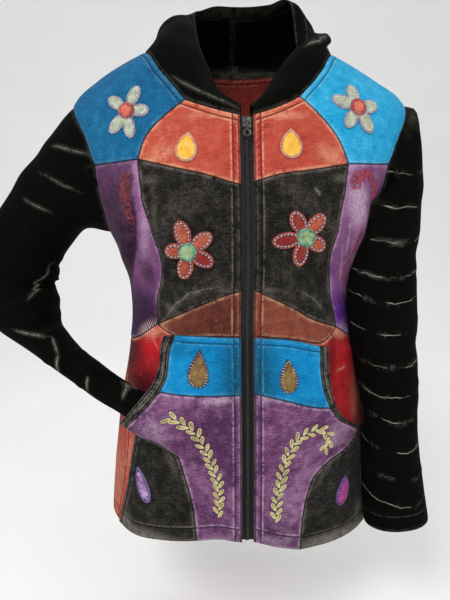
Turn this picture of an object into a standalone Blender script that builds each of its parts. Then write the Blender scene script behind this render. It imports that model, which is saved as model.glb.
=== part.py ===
"""Zip-front patchwork hoodie, hollow, in the pose of its wearer.

Metres, +Z up. The wearer faces -Y, so their right arm is at -X: it is bent, with the hand in the pocket.
The origin lies midway between the two neck points, where the shoulder seams meet the neckline.
Cloth pieces are walls worked out on the body's rings and joined edge to edge with a small gap.
"""

import math

import bmesh
import bpy
import numpy as np
from mathutils import Matrix, Vector
from mathutils.geometry import delaunay_2d_cdt

MM = 0.001
RIGHT, LEFT = -1, 1  # sides of the wearer, as signs of X

# Cloth
CLOTH = 2.0 * MM  # jersey wall
FELT = 1.6 * MM  # flowers and teardrops
SEAM_GAP = 0.4 * MM  # between two pieces sewn edge to edge
LAYER_GAP = 0.8 * MM  # between a felt flower and the panel that it lies on
POCKET_GAP = 1.9 * MM  # between the pocket and the panel under it
MESH_STEP = 22 * MM  # spacing of the points in a front piece
BAND_STEP = 13 * MM  # the same in the pocket's top band, which a hand lifts
BACK_STEP = 28 * MM
SEAM_STEP = 20 * MM  # spacing of the points along a seam

# Zip
ZIP_GROUND = 7.0 * MM  # from the middle of the zip to the cloth on either side
TAPE_EDGE = 6.6 * MM
CHAIN_EDGE = 2.1 * MM
ZIP_TOP, ZIP_BOTTOM = -97 * MM, -601 * MM
CHAIN_TOP = -102.5 * MM
SLIDER_HEIGHT = -105 * MM
SLIDER_WIDTH, SLIDER_LENGTH = 9.4 * MM, 11.5 * MM
# Inner faces of its plates, measured outward from the cloth's inner face.
SLIDER_FRONT, SLIDER_BACK = 3.0 * MM, -1.0 * MM
SLIDER_PLATE, SLIDER_POST, POST_HALF = 1.2 * MM, 2.6 * MM, 1.9 * MM
BAR_RADIUS, LUG = 0.6 * MM, 1.0 * MM
PULL_EYE, PULL_NECK, PULL_THICK = 1.8 * MM, 3.0 * MM, 1.2 * MM
PULL_LENGTH, PULL_RING = 17 * MM, 4.6 * MM

# The body from the neck points down past the hem, in millimetres. A row is one level ring:
# height, half width on the right, half width on the left, front, back, how far it is set back.
BODY_RINGS = (
    (0, 109, 105, 44, 58, 0),
    (-14, 134, 129, 58, 68, 0),
    (-28, 159, 154, 70, 79, 1),
    (-44, 182, 179, 80, 88, 2),
    (-60, 201, 203, 89, 96, 2),
    (-90, 214, 219, 103, 107, 2),
    (-130, 210, 213, 110, 114, 2),
    (-175, 190, 190, 118, 116, 2),
    (-220, 168, 168, 124, 114, 2),
    (-262, 149, 150, 124, 108, 4),
    (-315, 143, 146, 116, 98, 8),
    (-370, 147, 153, 116, 100, 10),
    (-440, 160, 166, 122, 112, 12),
    (-520, 172, 176, 126, 120, 16),
    (-640, 184, 186, 128, 122, 24),
)
BODY_ROUNDNESS = 0.86  # under 1 flattens the front and back of a ring

# Seams seen from the front, in millimetres: distance from the zip and height, on the right and on the left.
SIDE = 999  # further out than any ring: the point lies on the side line
SEAMS = {
    "neck_low": ((7, -96, 7, -96), (28, -91, 32, -88), (51, -84, 46, -82), (67, -78, 61, -74)),
    "neck_high": ((67, -78, 61, -74), (81, -59, 78, -56), (95, -40, 90, -41), (106, -20, 102, -22),
                  (SIDE, -1, SIDE, -1)),
    "shoulder_yoke": ((67, -78, 61, -74), (93, -98, 89, -101), (110, -115, 104, -119),
                      (121, -142, 117, -148)),
    "shoulder_strip": ((121, -142, 117, -148), (148, -144, 146, -147), (174, -145, 174, -145)),
    "yoke_chest": ((7, -172, 7, -169), (24, -168, 39, -161), (51, -160, 65, -157), (82, -152, 90, -153),
                   (121, -142, 117, -148)),
    "chest_strip": ((121, -142, 117, -148), (116, -187, 112, -185), (107, -220, 106, -213),
                    (99, -245, 98, -240), (98, -270, 97, -264), (102, -297, 103, -292),
                    (105, -334, 113, -342)),
    "chest_waist": ((7, -290, 7, -289), (26, -295, 23, -296), (53, -307, 50, -310), (79, -320, 77, -327),
                    (105, -334, 113, -342)),
    "strip_lower": ((105, -334, 113, -342), (125, -351, 132, -355), (SIDE, -366, SIDE, -368)),
    "waist_lower": ((7, -345, 7, -344), (40, -345, 56, -351), (84, -346, 94, -358), (105, -334, 113, -342)),
    "arm_high": ((SIDE, -66, SIDE, -66), (201, -82, 203, -82), (187, -109, 191, -107),
                 (174, -145, 174, -145)),
    "arm_low": ((174, -145, 174, -145), (172, -176, 170, -176), (168, -206, 167, -206),
                (SIDE, -222, SIDE, -222)),
    "side_high": ((SIDE, -222, SIDE, -222), (SIDE, -290, SIDE, -290), (SIDE, -366, SIDE, -368)),
    "side_low": ((SIDE, -366, SIDE, -368), (149, -440, 157, -440), (149, -500, 158, -500),
                 (157, -550, 160, -550), (169, -609, 167, -613)),
    "hem": ((7, -603, 7, -603), (33, -600, 35, -611), (63, -603, 66, -619), (101, -609, 102, -621),
            (143, -614, 138, -619), (169, -609, 167, -613)),
    "shoulder": ((SIDE, -1, SIDE, -1), (SIDE, -20, SIDE, -20), (SIDE, -40, SIDE, -40),
                 (SIDE, -66, SIDE, -66)),
}
# Seams of the back: degrees round from the zip, and height in millimetres.
ARM_BACK = ((90, -66), (106, -84), (116, -112), (119, -145), (114, -184), (103, -212), (90, -222))
NECK_BACK = ((90, -1), (120, -5), (150, -11), (180, -14))

# Pocket, on the same grid as the seams.
POCKET_SEAMS = {
    "pocket_top": ((7, -345, 7, -345), (48, -344, 50, -350), (83, -344, 86, -361)),
    "band_bottom": ((7, -414, 7, -412), (42, -414, 42, -422), (74, -411, 76, -433), (88, -408, 96, -437)),
    "mouth_high": ((83, -344, 86, -361), (80, -370, 84, -386), (82, -392, 88, -414), (88, -408, 96, -437)),
    "mouth_low": ((88, -408, 96, -437), (101, -429, 106, -452), (118, -450, 126, -467),
                  (133, -468, 145, -481)),
    "mouth_edge": ((92, -346, 95, -362), (87, -368, 94, -385), (91, -393, 97, -412), (105, -419, 106, -441),
                   (121, -443, 126, -463), (140, -462, 150, -474)),
    "corner_top": ((133, -468, 145, -481), (115, -464, 122, -498), (99, -466, 98, -508),
                   (86, -483, 80, -522), (75, -515, 71, -543), (67, -550, 66, -570), (62, -602, 64, -618)),
    "pocket_side": ((133, -468, 145, -481), (139, -496, 151, -508), (149, -550, 155, -553),
                    (163, -607, 162, -611)),
    "pocket_hem_in": ((7, -601, 7, -601), (33, -599, 35, -609), (62, -602, 64, -618)),
    "pocket_hem_out": ((62, -602, 64, -618), (101, -607, 102, -619), (143, -612, 138, -617),
                       (163, -607, 162, -611)),
}
# Ends of the hand openings, as distance and height, and how far the cloth stands off over the hand.
MOUTH_TOP = {RIGHT: (88, -345), LEFT: (91, -355)}
MOUTH_BOTTOM = {RIGHT: (138, -467), LEFT: (148, -476)}
MOUTH_BULGE = {RIGHT: 36 * MM, LEFT: 9 * MM}
MOUTH_REACH = 85 * MM
BULGE_FROM, BULGE_FULL = 0 * MM, 112 * MM  # distances from the zip between which the bulge grows
BULGE_FLOOR, BULGE_CLEAR = -600 * MM, -480 * MM  # heights between which it fades to the hem

# Largest folds of the body, in millimetres: across, height, half length, half width, depth,
# lean from upright in degrees, and face, which is 1 for the front and -1 for the back.
FOLDS = (
    (-137, -216, 55, 12, 7, 4, 1),
    (-112, -250, 40, 12, -4, -14, 1),
    (136, -205, 55, 12, 6, -6, 1),
    (-72, -196, 70, 18, 4, 42, 1),
    (74, -205, 70, 18, 4, -42, 1),
    (-60, -292, 55, 15, 4, 68, 1),
    (62, -300, 60, 15, 4, -66, 1),
    (100, -300, 50, 14, -4, -50, 1),
    (20, -262, 50, 16, 3, -80, 1),
    (45, -560, 60, 32, 4, 4, 1),
    (-40, -575, 50, 30, -3, -4, 1),
    (-172, -572, 45, 30, 8, 0, -1),
    (-80, -170, 80, 22, 6, -35, -1),
    (80, -175, 80, 22, 6, 35, -1),
    (0, -325, 100, 20, 7, 90, -1),
    (60, -290, 70, 18, 6, -72, -1),
    (-60, -290, 70, 18, 6, 72, -1),
    (90, -540, 70, 22, 6, 3, -1),
    (-60, -550, 70, 22, -5, -3, -1),
)

# Sleeves. A row is one section, in millimetres: x, y and z of its middle, its width across the bend
# and its depth from front to back.
SLEEVES = {
    RIGHT: (
        (-242, 10, -184, 97, 102),
        (-268, 15, -213, 95, 98),
        (-290, 20, -243, 98, 94),
        (-304, 24, -274, 108, 94),
        (-303, 21, -306, 104, 88),
        (-285, 13, -336, 78, 80),
        (-261, 1, -365, 49, 66),
        (-232, -13, -389, 36, 54),
        (-201, -32, -406, 35, 42),
        (-174, -52, -419, 35, 31),
        (-146, -73, -429, 35, 20),
        (-120, -92, -440, 35, 17),
        (-97, -102, -451, 35, 14),
    ),
    LEFT: (
        (182, -24, -212, 82, 126),
        (175, -38, -256, 87, 116),
        (174, -46, -300, 85, 108),
        (179, -53, -360, 80, 98),
        (184, -58, -424, 70, 90),
        (187, -62, -482, 68, 84),
        (193, -66, -544, 72, 78),
        (199, -71, -600, 78, 72),
    ),
}
SLEEVE_RINGS = {RIGHT: 22, LEFT: 19}
HEAD_SHARE = 0.022  # how far along the sleeve its head stands up from the armhole
HEAD_OUT, HEAD_RISE = 3.2 * MM, 5 * MM
SLEEVE_GAP = 2.8 * MM  # between the hanging sleeve and the cloth beside it
POCKET_ROOM_FROM, POCKET_ROOM_FULL = -300 * MM, -345 * MM  # heights from which it leaves room for the pocket
# Folds of the sleeves: how far along from 0 to 1, degrees round from the outer side, the spreads of
# both, and depth.
SLEEVE_FOLDS = {
    RIGHT: (
        (0.06, 0, 0.040, 70, 3),
        (0.14, 60, 0.030, 60, 5),
        (0.22, 100, 0.025, 50, -4),
        (0.33, 130, 0.025, 55, 6),
        (0.42, 165, 0.022, 50, -5),
        (0.49, 175, 0.022, 60, 4),
        (0.56, 160, 0.020, 60, -5),
        (0.30, 300, 0.030, 60, 4),
        (0.45, 20, 0.040, 40, 4),
    ),
    LEFT: (
        (0.03, 0, 0.030, 60, 8),
        (0.08, 0, 0.050, 65, 12),
        (0.16, 120, 0.030, 55, 4),
        (0.26, 60, 0.030, 60, -3),
        (0.38, 110, 0.030, 55, 3),
        (0.50, 40, 0.030, 60, -3),
        (0.64, 80, 0.030, 60, 3),
        (0.30, 270, 0.040, 60, 4),
        (0.55, 250, 0.040, 60, -4),
    ),
}

# Hood, worn down. A row is one upright section: degrees round the neck from the zip, then for each
# point above the neckline its distance from the neck's middle and its height, in millimetres.
HOOD_BACK = (
    (140, 90, 3, 113, -34, 131, -72, 152, -44, 130, 36, 70, 70),
    (160, 80, 4, 114, -56, 135, -106, 161, -76, 146, 26, 74, 82),
    (180, 76, 5, 115, -62, 136, -116, 163, -86, 150, 24, 76, 84),
)
HOODS = {
    RIGHT: (
        (4, 104, -91, 102, -87, 99, -85, 95, -85, 92, -89, 91, -95),
        (28, 105, -72, 96, -63, 84, -57, 71, -56, 61, -62, 58, -75),
        (60, 106, -14, 96, -3, 84, 2, 70, 2, 58, -5, 55, -20),
        (90, 108, 7, 101, 18, 90, 30, 75, 38, 58, 31, 53, 14),
        (115, 107, 7, 112, 19, 109, 33, 97, 45, 77, 54, 60, 54),
    ) + HOOD_BACK,
    LEFT: (
        (4, 104, -91, 102, -87, 99, -85, 95, -85, 92, -89, 91, -95),
        (28, 105, -70, 98, -60, 88, -54, 76, -52, 66, -57, 62, -72),
        (60, 105, -15, 101, -5, 93, -2, 83, -5, 75, -10, 71, -24),
        (86, 108, 6, 115, 13, 111, 20, 97, 13, 82, 4, 75, -8),
        (106, 104, 10, 110, 20, 108, 32, 98, 38, 86, 38, 78, 32),
        (120, 103, 7, 115, 22, 120, 43, 109, 61, 94, 76, 82, 76),
        (142, 91, 3, 114, -32, 132, -68, 152, -38, 124, 50, 74, 80),
    ) + HOOD_BACK[1:],
}
HOOD_STEPS = 15  # points from the neckline to the free edge

# Felt pieces. Flowers: across, height, radius of the heart, and each petal's direction in degrees
# and reach.
FLOWERS = (
    (-132, -89, 8.7, ((0, 25), (67, 31), (142, 27), (229, 30), (278, 30))),
    (129, -85, 9.5, ((7, 25), (105, 28), (162, 32), (236, 27), (302, 32))),
    (-66, -245, 10, ((37, 32), (105, 35), (176, 25), (260, 31), (333, 31))),
    (64, -230, 10.4, ((52, 30), (118, 31), (189, 38), (254, 33), (331, 26))),
)
PETAL_WIDTHS = (13.5, 15, 17, 17)
# Teardrops: across, height, width, length, tilt in degrees, how much it narrows to its tip, panel, and
# the gap under it.
TEARDROPS = (
    (-66, -131, 24, 32, -8, 0.6, "body", 0.8),
    (49, -128, 25, 32, 3, 0.6, "body", 0.8),
    (-54, -382, 20, 42, 0, 1.0, "pocket", 2.4),
    (47, -393, 21, 41, 2, 1.0, "pocket", 1.0),
    (-126, -538, 15, 45, 14, 0.6, "pocket", 0.9),
    (120, -551, 17, 39, -11, 0.6, "pocket", 0.9),
)

COLOURS = {
    "blue": ((0.025, 0.22, 0.42), 0.9),
    "rust": ((0.45, 0.11, 0.06), 0.9),
    "charcoal": ((0.045, 0.04, 0.037), 0.9),
    "purple": ((0.21, 0.07, 0.26), 0.9),
    "red": ((0.42, 0.02, 0.03), 0.9),
    "black": ((0.008, 0.008, 0.008), 0.85),
    "felt_pale": ((0.45, 0.5, 0.4), 0.95),
    "felt_orange": ((0.5, 0.1, 0.05), 0.95),
    "felt_mint": ((0.3, 0.55, 0.4), 0.95),
    "felt_yellow": ((0.75, 0.5, 0.12), 0.95),
    "felt_brown": ((0.2, 0.13, 0.06), 0.95),
    "felt_purple": ((0.25, 0.08, 0.3), 0.95),
    "gunmetal": ((0.2, 0.2, 0.2), 0.35),
}


def smooth(knots, values, at):
    """Cubic curve through the rows of a table, each slope taken from the neighbouring rows."""
    knots, values, at = (np.asarray(a, float) for a in (knots, values, at))
    slopes = np.gradient(values, knots, axis=0)
    row = np.clip(np.searchsorted(knots, at, side="right") - 1, 0, len(knots) - 2)
    span = knots[row + 1] - knots[row]
    t = (at - knots[row]) / span
    if values.ndim > 1:
        extra = (1,) * (values.ndim - 1)
        t, span = t.reshape(t.shape + extra), span.reshape(span.shape + extra)
    start, end = values[row], values[row + 1]
    rise = (3 * t**2 - 2 * t**3) * (end - start)
    bend = span * ((t**3 - 2 * t**2 + t) * slopes[row] + (t**3 - t**2) * slopes[row + 1])
    return start + rise + bend


def step_between(low, high, value):
    t = np.clip((value - low) / (high - low), 0, 1)
    return t * t * (3 - 2 * t)


def unit(vectors):
    return vectors / np.linalg.norm(vectors, axis=-1, keepdims=True)


def lengths_along(points):
    """Distance from the first point to each point of a line."""
    steps = np.linalg.norm(np.diff(points, axis=0), axis=-1)
    return np.concatenate([[0], np.cumsum(steps)])


RINGS = np.array(BODY_RINGS, float) * MM
# How far down the side line each ring is, from the neck point.
RING_LEVELS = lengths_along(RINGS[:, :2])
FINE_LEVELS = np.linspace(0, RING_LEVELS[-1], 600)
FINE_HEIGHTS = smooth(RING_LEVELS, RINGS[:, 0], FINE_LEVELS)


def level_of(height):
    return np.interp(-np.asarray(height, float), -FINE_HEIGHTS, FINE_LEVELS)


def spot(x, height):
    """Surface coordinates (angle from the zip, level) of a point given in the front view."""
    level = level_of(height)
    column = 1 if np.mean(x) < 0 else 2
    half_width = smooth(RING_LEVELS, RINGS[:, column], level)
    return np.stack([np.arcsin(np.clip(x / half_width, -1, 1)), level], axis=-1)


def body_ring(angle, level):
    """Point of the smooth inner face of the body. The angle is 0 at the zip and pi at the centre back."""
    height, right, left, front, back, set_back = np.moveaxis(smooth(RING_LEVELS, RINGS, level), -1, 0)
    half_width = np.where(np.sin(angle) < 0, right, left)
    reach = np.cos(angle)
    depth = np.where(reach > 0, front, back) * np.sign(reach) * np.abs(reach) ** BODY_ROUNDNESS
    return np.stack([half_width * np.sin(angle), set_back - depth, height], axis=-1)


def normals_of(surface, angle, level):
    """Outward normals of a surface given by angle and level."""
    turn, reach = 0.012, 2 * MM
    across = surface(angle + turn, level) - surface(angle - turn, level)
    upward = surface(angle, level - reach) - surface(angle, level + reach)
    return unit(np.cross(across, upward))


def fold_height(points, facing):
    """How far the folds lift each point of the body."""
    lift = np.zeros(points.shape[:-1])
    for row in FOLDS:
        across, height, half_length, half_width, depth, lean, face = row
        lean = math.radians(lean)
        dx = points[..., 0] - across * MM
        dz = points[..., 2] - height * MM
        along = (dx * math.sin(lean) + dz * math.cos(lean)) / (half_length * MM)
        beside = (dx * math.cos(lean) - dz * math.sin(lean)) / (half_width * MM)
        share = step_between(-0.05, 0.25, facing * face)
        lift += depth * MM * np.exp(-beside**2 - along**4) * share
    # The strip along the zip stays straight.
    return lift * step_between(6 * MM, 34 * MM, np.abs(points[..., 0]) + 60 * MM * (facing < 0))


def body_cloth(angle, level):
    """Point of the inner face of the body's cloth, with its folds."""
    points = body_ring(angle, level)
    normals = normals_of(body_ring, angle, level)
    return points + normals * fold_height(points, np.cos(angle))[..., None]


def mouth_lift(points):
    """How far the pocket stands off the front to make room for a hand."""
    lift = np.zeros(points.shape[:-1])
    for side in (RIGHT, LEFT):
        top, bottom = np.array(MOUTH_TOP[side]) * MM, np.array(MOUTH_BOTTOM[side]) * MM
        middle, half = (top + bottom) / 2, (bottom - top) / 2
        length = np.linalg.norm(half)
        along = half / length
        inward = np.array([along[1], -along[0]])
        offset = np.stack([side * points[..., 0], points[..., 2]], axis=-1) - middle
        down_mouth = np.clip((offset @ along) / length, -1, 1)
        depth = np.maximum(offset @ inward, 0) / MOUTH_REACH
        share = (1 - down_mouth**6) * np.exp(-depth**2)
        share = share * step_between(BULGE_FROM, BULGE_FULL, side * points[..., 0])
        lift += MOUTH_BULGE[side] * share
    return lift * step_between(BULGE_FLOOR, BULGE_CLEAR, points[..., 2])


def pocket_cloth(angle, level):
    """Point of the inner face of the pocket."""
    points = body_cloth(angle, level)
    normals = normals_of(body_ring, angle, level)
    lift = CLOTH + POCKET_GAP + mouth_lift(points)
    return points + normals * lift[..., None]


def seam_line(spots):
    """Points along a smooth line through spots, evenly spaced on the body."""
    flat = spots * (150 * MM, 1)
    knots = lengths_along(flat)
    fine = smooth(knots, spots, np.linspace(0, knots[-1], 120))
    walked = lengths_along(body_ring(fine[:, 0], fine[:, 1]))
    count = max(2, round(walked[-1] / SEAM_STEP) + 1)
    at = np.linspace(0, walked[-1], count)
    return np.stack([np.interp(at, walked, fine[:, 0]), np.interp(at, walked, fine[:, 1])], axis=-1)


def side_seams(side, table):
    """The seams of one side as lines of spots, by name."""
    lines = {}
    for name, rows in table.items():
        columns = np.array(rows, float)[:, :2] if side == RIGHT else np.array(rows, float)[:, 2:]
        lines[name] = seam_line(spot(side * columns[:, 0] * MM, columns[:, 1] * MM))
    return lines


def back_line(side, rows):
    angles, heights = np.array(rows, float).T
    return seam_line(np.stack([side * np.radians(angles), level_of(heights * MM)], axis=-1))


def zip_edge(side, top, bottom, across=ZIP_GROUND):
    """The upright edge of a piece beside the zip."""
    heights = np.linspace(top, bottom, max(2, round((top - bottom) / SEAM_STEP) + 1))
    return spot(np.full(len(heights), side * across), heights)


def height_at(line, end):
    return body_ring(line[end, 0], line[end, 1])[2]


def outline_of(*lines):
    """One closed outline from lines that follow each other end to end."""
    return np.concatenate([line[:-1] for line in lines])


def back_to_front(line):
    return line[::-1]


def sideways(points, normals, closed):
    """Vectors across a line, to its left seen from outside, longer at corners to keep the gap."""
    if closed:
        before, after = np.roll(points, 1, axis=0), np.roll(points, -1, axis=0)
    else:
        before = np.concatenate([2 * points[:1] - points[1:2], points[:-1]])
        after = np.concatenate([points[1:], 2 * points[-1:] - points[-2:-1]])
    first = unit(np.cross(normals, points - before))
    second = unit(np.cross(normals, after - points))
    together = np.maximum(1 + np.sum(first * second, axis=-1, keepdims=True), 0.45)
    return (first + second) / together


def lattice_inside(outline, step):
    """Staggered points inside a flat outline and clear of its edge."""
    low, high = outline.min(axis=0), outline.max(axis=0)
    rows = []
    for number, y in enumerate(np.arange(low[1] + step * 0.5, high[1], step * 0.87)):
        x = np.arange(low[0] + step * (0.25 + 0.5 * (number % 2)), high[0], step)
        rows.append(np.stack([x, np.full(len(x), y)], axis=-1))
    if not rows:
        return np.zeros((0, 2))
    points = np.concatenate(rows)
    start, end = outline, np.roll(outline, -1, axis=0)
    edge = end - start
    offset = points[:, None] - start[None]
    share = np.clip(np.sum(offset * edge, axis=-1) / np.sum(edge * edge, axis=-1), 0, 1)
    gap = np.linalg.norm(offset - share[..., None] * edge, axis=-1).min(axis=1)
    crosses = (start[:, 1] > points[:, None, 1]) != (end[:, 1] > points[:, None, 1])
    run = np.where(np.abs(edge[:, 1]) < 1e-12, 1e-12, edge[:, 1])
    at = start[:, 0] + (points[:, None, 1] - start[:, 1]) * edge[:, 0] / run
    inside = np.sum(crosses & (points[:, None, 0] < at), axis=1) % 2 == 1
    return points[inside & (gap > step * 0.5)]


def material_for(colour, name):
    rgb, roughness = COLOURS[colour]
    material = bpy.data.materials.new(name + "_cloth")
    material.use_nodes = True
    shader = material.node_tree.nodes["Principled BSDF"]
    shader.inputs["Base Color"].default_value = (*rgb, 1)
    shader.inputs["Roughness"].default_value = roughness
    shader.inputs["Metallic"].default_value = 1.0 if colour == "gunmetal" else 0.0
    return material


def add_object(name, mesh, colour):
    made = bpy.data.objects.new(name, mesh)
    mesh.materials.append(material_for(colour, name))
    bpy.data.collections["patchwork_hoodie"].objects.link(made)
    return made


def add_solid(name, points, faces, colour):
    """A closed mesh with its faces turned outward."""
    mesh = bpy.data.meshes.new(name)
    mesh.from_pydata([tuple(p) for p in points], [], faces)
    shape = bmesh.new()
    shape.from_mesh(mesh)
    bmesh.ops.recalc_face_normals(shape, faces=shape.faces)
    bmesh.ops.triangulate(shape, faces=shape.faces)
    if shape.calc_volume(signed=True) < 0:
        bmesh.ops.reverse_faces(shape, faces=shape.faces)
    shape.to_mesh(mesh)
    shape.free()
    mesh.shade_smooth()
    mesh.set_sharp_from_angle(angle=math.radians(50))
    return add_object(name, mesh, colour)


def add_patch(name, outline, surface, colour, low=0.0, thick=CLOTH, step=MESH_STEP, inset=SEAM_GAP / 2):
    """A piece of cloth cut to an outline of spots and laid on a surface."""
    # Seen from outside, the angle runs to the right and the level runs down.
    flat = outline * (150 * MM, -1)
    after = np.roll(flat, -1, axis=0)
    if np.sum(flat[:, 0] * after[:, 1] - after[:, 0] * flat[:, 1]) < 0:
        flat, outline = flat[::-1], outline[::-1]
    count = len(flat)
    inner_points = lattice_inside(flat, step)
    corners = [Vector(p) for p in np.concatenate([flat, inner_points])]
    made = delaunay_2d_cdt(corners, [], [list(range(count))], 1, 1e-7)
    faces = [tuple(face) for face in made[2]]
    spots = np.array([tuple(p) for p in made[0]]) / (150 * MM, -1)
    angle, level = spots[:, 0], spots[:, 1]
    points, normals = surface(angle, level), normals_of(surface, angle, level)
    points[:count] += sideways(points[:count], normals[:count], True) * inset
    inside = points + normals * low
    outside = inside + normals * thick
    total = len(spots)
    solid = [face for face in faces]
    solid += [tuple(i + total for i in reversed(face)) for face in faces]
    for i in range(count):
        j = (i + 1) % count
        solid.append((i, i + total, j + total, j))
    return add_solid(name, np.concatenate([outside, inside]), solid, colour)


def grid_faces(rows, columns, closed):
    """Quads of a grid of points, row by row. A closed grid joins its last column to its first."""
    faces = []
    for i in range(rows - 1):
        for j in range(columns if closed else columns - 1):
            k = (j + 1) % columns
            faces.append((i * columns + j, i * columns + k, (i + 1) * columns + k, (i + 1) * columns + j))
    return faces


def add_sheet(name, inside, outside, colour, closed):
    """A wall between two grids of points. A closed one is a tube, open at both ends."""
    rows, columns = inside.shape[:2]
    total = rows * columns
    faces = grid_faces(rows, columns, closed)
    solid = faces + [tuple(i + total for i in reversed(face)) for face in faces]
    for j in range(columns if closed else columns - 1):
        k = (j + 1) % columns
        for row in (0, rows - 1):
            a, b = row * columns + j, row * columns + k
            solid.append((a, a + total, b + total, b))
    if not closed:
        for i in range(rows - 1):
            for column in (0, columns - 1):
                a, b = i * columns + column, (i + 1) * columns + column
                solid.append((a, a + total, b + total, b))
    points = np.concatenate([outside.reshape(-1, 3), inside.reshape(-1, 3)])
    return add_solid(name, points, solid, colour)


def grid_normals(points, closed):
    """Normals of a grid of points, from its neighbours."""
    if closed:
        around = np.roll(points, -1, axis=1) - np.roll(points, 1, axis=1)
    else:
        around = np.gradient(points, axis=1)
    return unit(np.cross(around, np.gradient(points, axis=0)))


def push_clear(points, gap):
    """Moves a sleeve's points that are too near the body out to a gap from the cloth under them."""
    level = level_of(points[..., 2])
    ring = smooth(RING_LEVELS, RINGS, level)
    half_width = np.where(points[..., 0] < 0, ring[..., 1], ring[..., 2])
    back = points[..., 1] > ring[..., 5]
    depth = np.where(back, ring[..., 4], ring[..., 3])
    x, y = np.abs(points[..., 0]), np.abs(points[..., 1] - ring[..., 5])
    middle = np.stack([np.zeros_like(x), ring[..., 5], points[..., 2]], axis=-1)
    room = np.zeros_like(x)
    for _ in range(2):
        low, high = np.zeros_like(x), np.full_like(x, 50.0)
        for _ in range(40):
            grow = (low + high) / 2
            reach = (grow * x / (half_width + room)) ** 2
            outside = reach + (grow * y / (depth + room)) ** (2 / BODY_ROUNDNESS) > 1
            low, high = np.where(outside, low, grow), np.where(outside, grow, high)
        under = middle + (points - middle) * high[..., None]
        facing = np.where(back, -1, 1) * (y * high / depth) ** (1 / BODY_ROUNDNESS)
        cloth = CLOTH + np.maximum(fold_height(under, facing), 0)
        pocket = (CLOTH + POCKET_GAP + mouth_lift(under)) * step_between(0.0, 0.2, facing)
        pocket *= step_between(-POCKET_ROOM_FROM, -POCKET_ROOM_FULL, -under[..., 2])
        room = cloth + pocket + gap + CLOTH
    return middle + (points - middle) * np.maximum(high, 1)[..., None]


def sleeve_surface(side, loop, normals, across):
    """Rings of the sleeve's inner face: first the armhole's points, then a small roll over them."""
    table = np.array(SLEEVES[side], float) * MM
    centres = np.concatenate([loop.mean(axis=0)[None], table[:, :3]])
    stations = lengths_along(centres)
    stations /= stations[-1]
    # Round the armhole: half a turn down its front and half a turn up its back.
    walked = lengths_along(np.concatenate([loop, loop[:1]]))
    foot = int(np.argmin(loop[:, 2]))
    turn = np.interp(walked[:-1], [0, walked[foot], walked[-1]], [0, math.pi, 2 * math.pi])
    tangents = unit(np.gradient(centres, stations, axis=0))
    lifted = step_between(20, 70, np.minimum(np.degrees(turn), 360 - np.degrees(turn)))[:, None]
    head = loop + across * HEAD_OUT + normals * HEAD_RISE * lifted
    rings = [loop, head]
    for row, centre, tangent in zip(table, centres[1:], tangents[1:]):
        front = np.array([0.0, -1.0, 0.0])
        front = unit(front - tangent * (front @ tangent))
        outer = side * np.cross(front, tangent)
        width, depth = row[3] / 2, row[4] / 2
        reach = np.sign(np.cos(turn)) * np.abs(np.cos(turn)) ** 0.9
        rings.append(centre + np.outer(reach * width, outer) + np.outer(np.sin(turn) * depth, front))
    stations = np.insert(stations, 1, HEAD_SHARE)
    at = np.insert(np.linspace(0, 1, SLEEVE_RINGS[side]), 1, HEAD_SHARE)
    points = smooth(stations, np.array(rings), at)
    lift = np.zeros(points.shape[:2])
    for along, around, spread_along, spread_around, depth in SLEEVE_FOLDS[side]:
        off = np.degrees(turn) - around
        off = (off + 180) % 360 - 180
        near = np.exp(-(((at - along) / spread_along) ** 2))
        lift += depth * MM * np.outer(near, np.exp(-((off / spread_around) ** 2)))
    lift *= step_between(0, 0.03, at)[:, None]
    points = points + lift[..., None] * side * grid_normals(points, True)
    if side == LEFT:
        points[2:] = push_clear(points, SLEEVE_GAP)[2:]
    return points


def add_sleeve(name, side, armhole):
    """armhole: spots of the closed loop, from the shoulder down the front and up the back."""
    points = body_cloth(armhole[:, 0], armhole[:, 1])
    normals = normals_of(body_cloth, armhole[:, 0], armhole[:, 1])
    across = sideways(points, normals, True)
    if np.sum(across * (points.mean(axis=0) - points)) < 0:
        across = -across
    points = points + across * SEAM_GAP / 2
    rings = sleeve_surface(side, points, normals, across)
    outward = grid_normals(rings, True)
    middle = rings.mean(axis=1, keepdims=True)
    if np.sum(outward * (rings - middle)) < 0:
        outward = -outward
    outward[0] = normals
    return add_sheet(name, rings, rings + outward * CLOTH, "black", True)


def hood_grid(side, neckline):
    """Grid of the hood's inner face: a row for each neckline point, from the seam to the free edge."""
    points = body_cloth(neckline[:, 0], neckline[:, 1])
    normals = normals_of(body_cloth, neckline[:, 0], neckline[:, 1])
    across = sideways(points, normals, False)
    if np.sum(across[:, 2]) < 0:
        across = -across
    seam = points + across * SEAM_GAP / 2
    around = np.degrees(np.arctan2(np.abs(seam[:, 0]), -seam[:, 1]))
    table = np.array(HOODS[side], float)
    section = smooth(table[:, 0], table[:, 1:] * MM, np.clip(around, table[0, 0], table[-1, 0]))
    direction = np.radians(around)
    rows = []
    for start, values, turn in zip(seam, section, direction):
        radii, heights = values[0::2], values[1::2]
        shape = np.stack([side * radii * math.sin(turn), -radii * math.cos(turn), heights], axis=-1)
        line = np.concatenate([start[None], shape])
        knots = lengths_along(line)
        fine = smooth(knots, line, np.linspace(0, knots[-1], 90))
        walked = lengths_along(fine)
        at = np.linspace(0, walked[-1], HOOD_STEPS)
        rows.append(np.stack([np.interp(at, walked, fine[:, axis]) for axis in range(3)], axis=-1))
    return np.array(rows), normals


def add_hood_half(name, side, neckline):
    grid, seam_normals = hood_grid(side, neckline)
    grid[-1, :, 0] = side * SEAM_GAP / 2
    outward = grid_normals(grid, False)
    if np.sum(outward[:, 0] * seam_normals) < 0:
        outward = -outward
    outward[-1, :, 0] = 0
    outward = unit(outward)
    outward[:, 0] = seam_normals
    outward[-1, 0] = unit(seam_normals[-1] * (0, 1, 1))
    return add_sheet(name, grid, grid + outward * CLOTH, "black", False)


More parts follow.
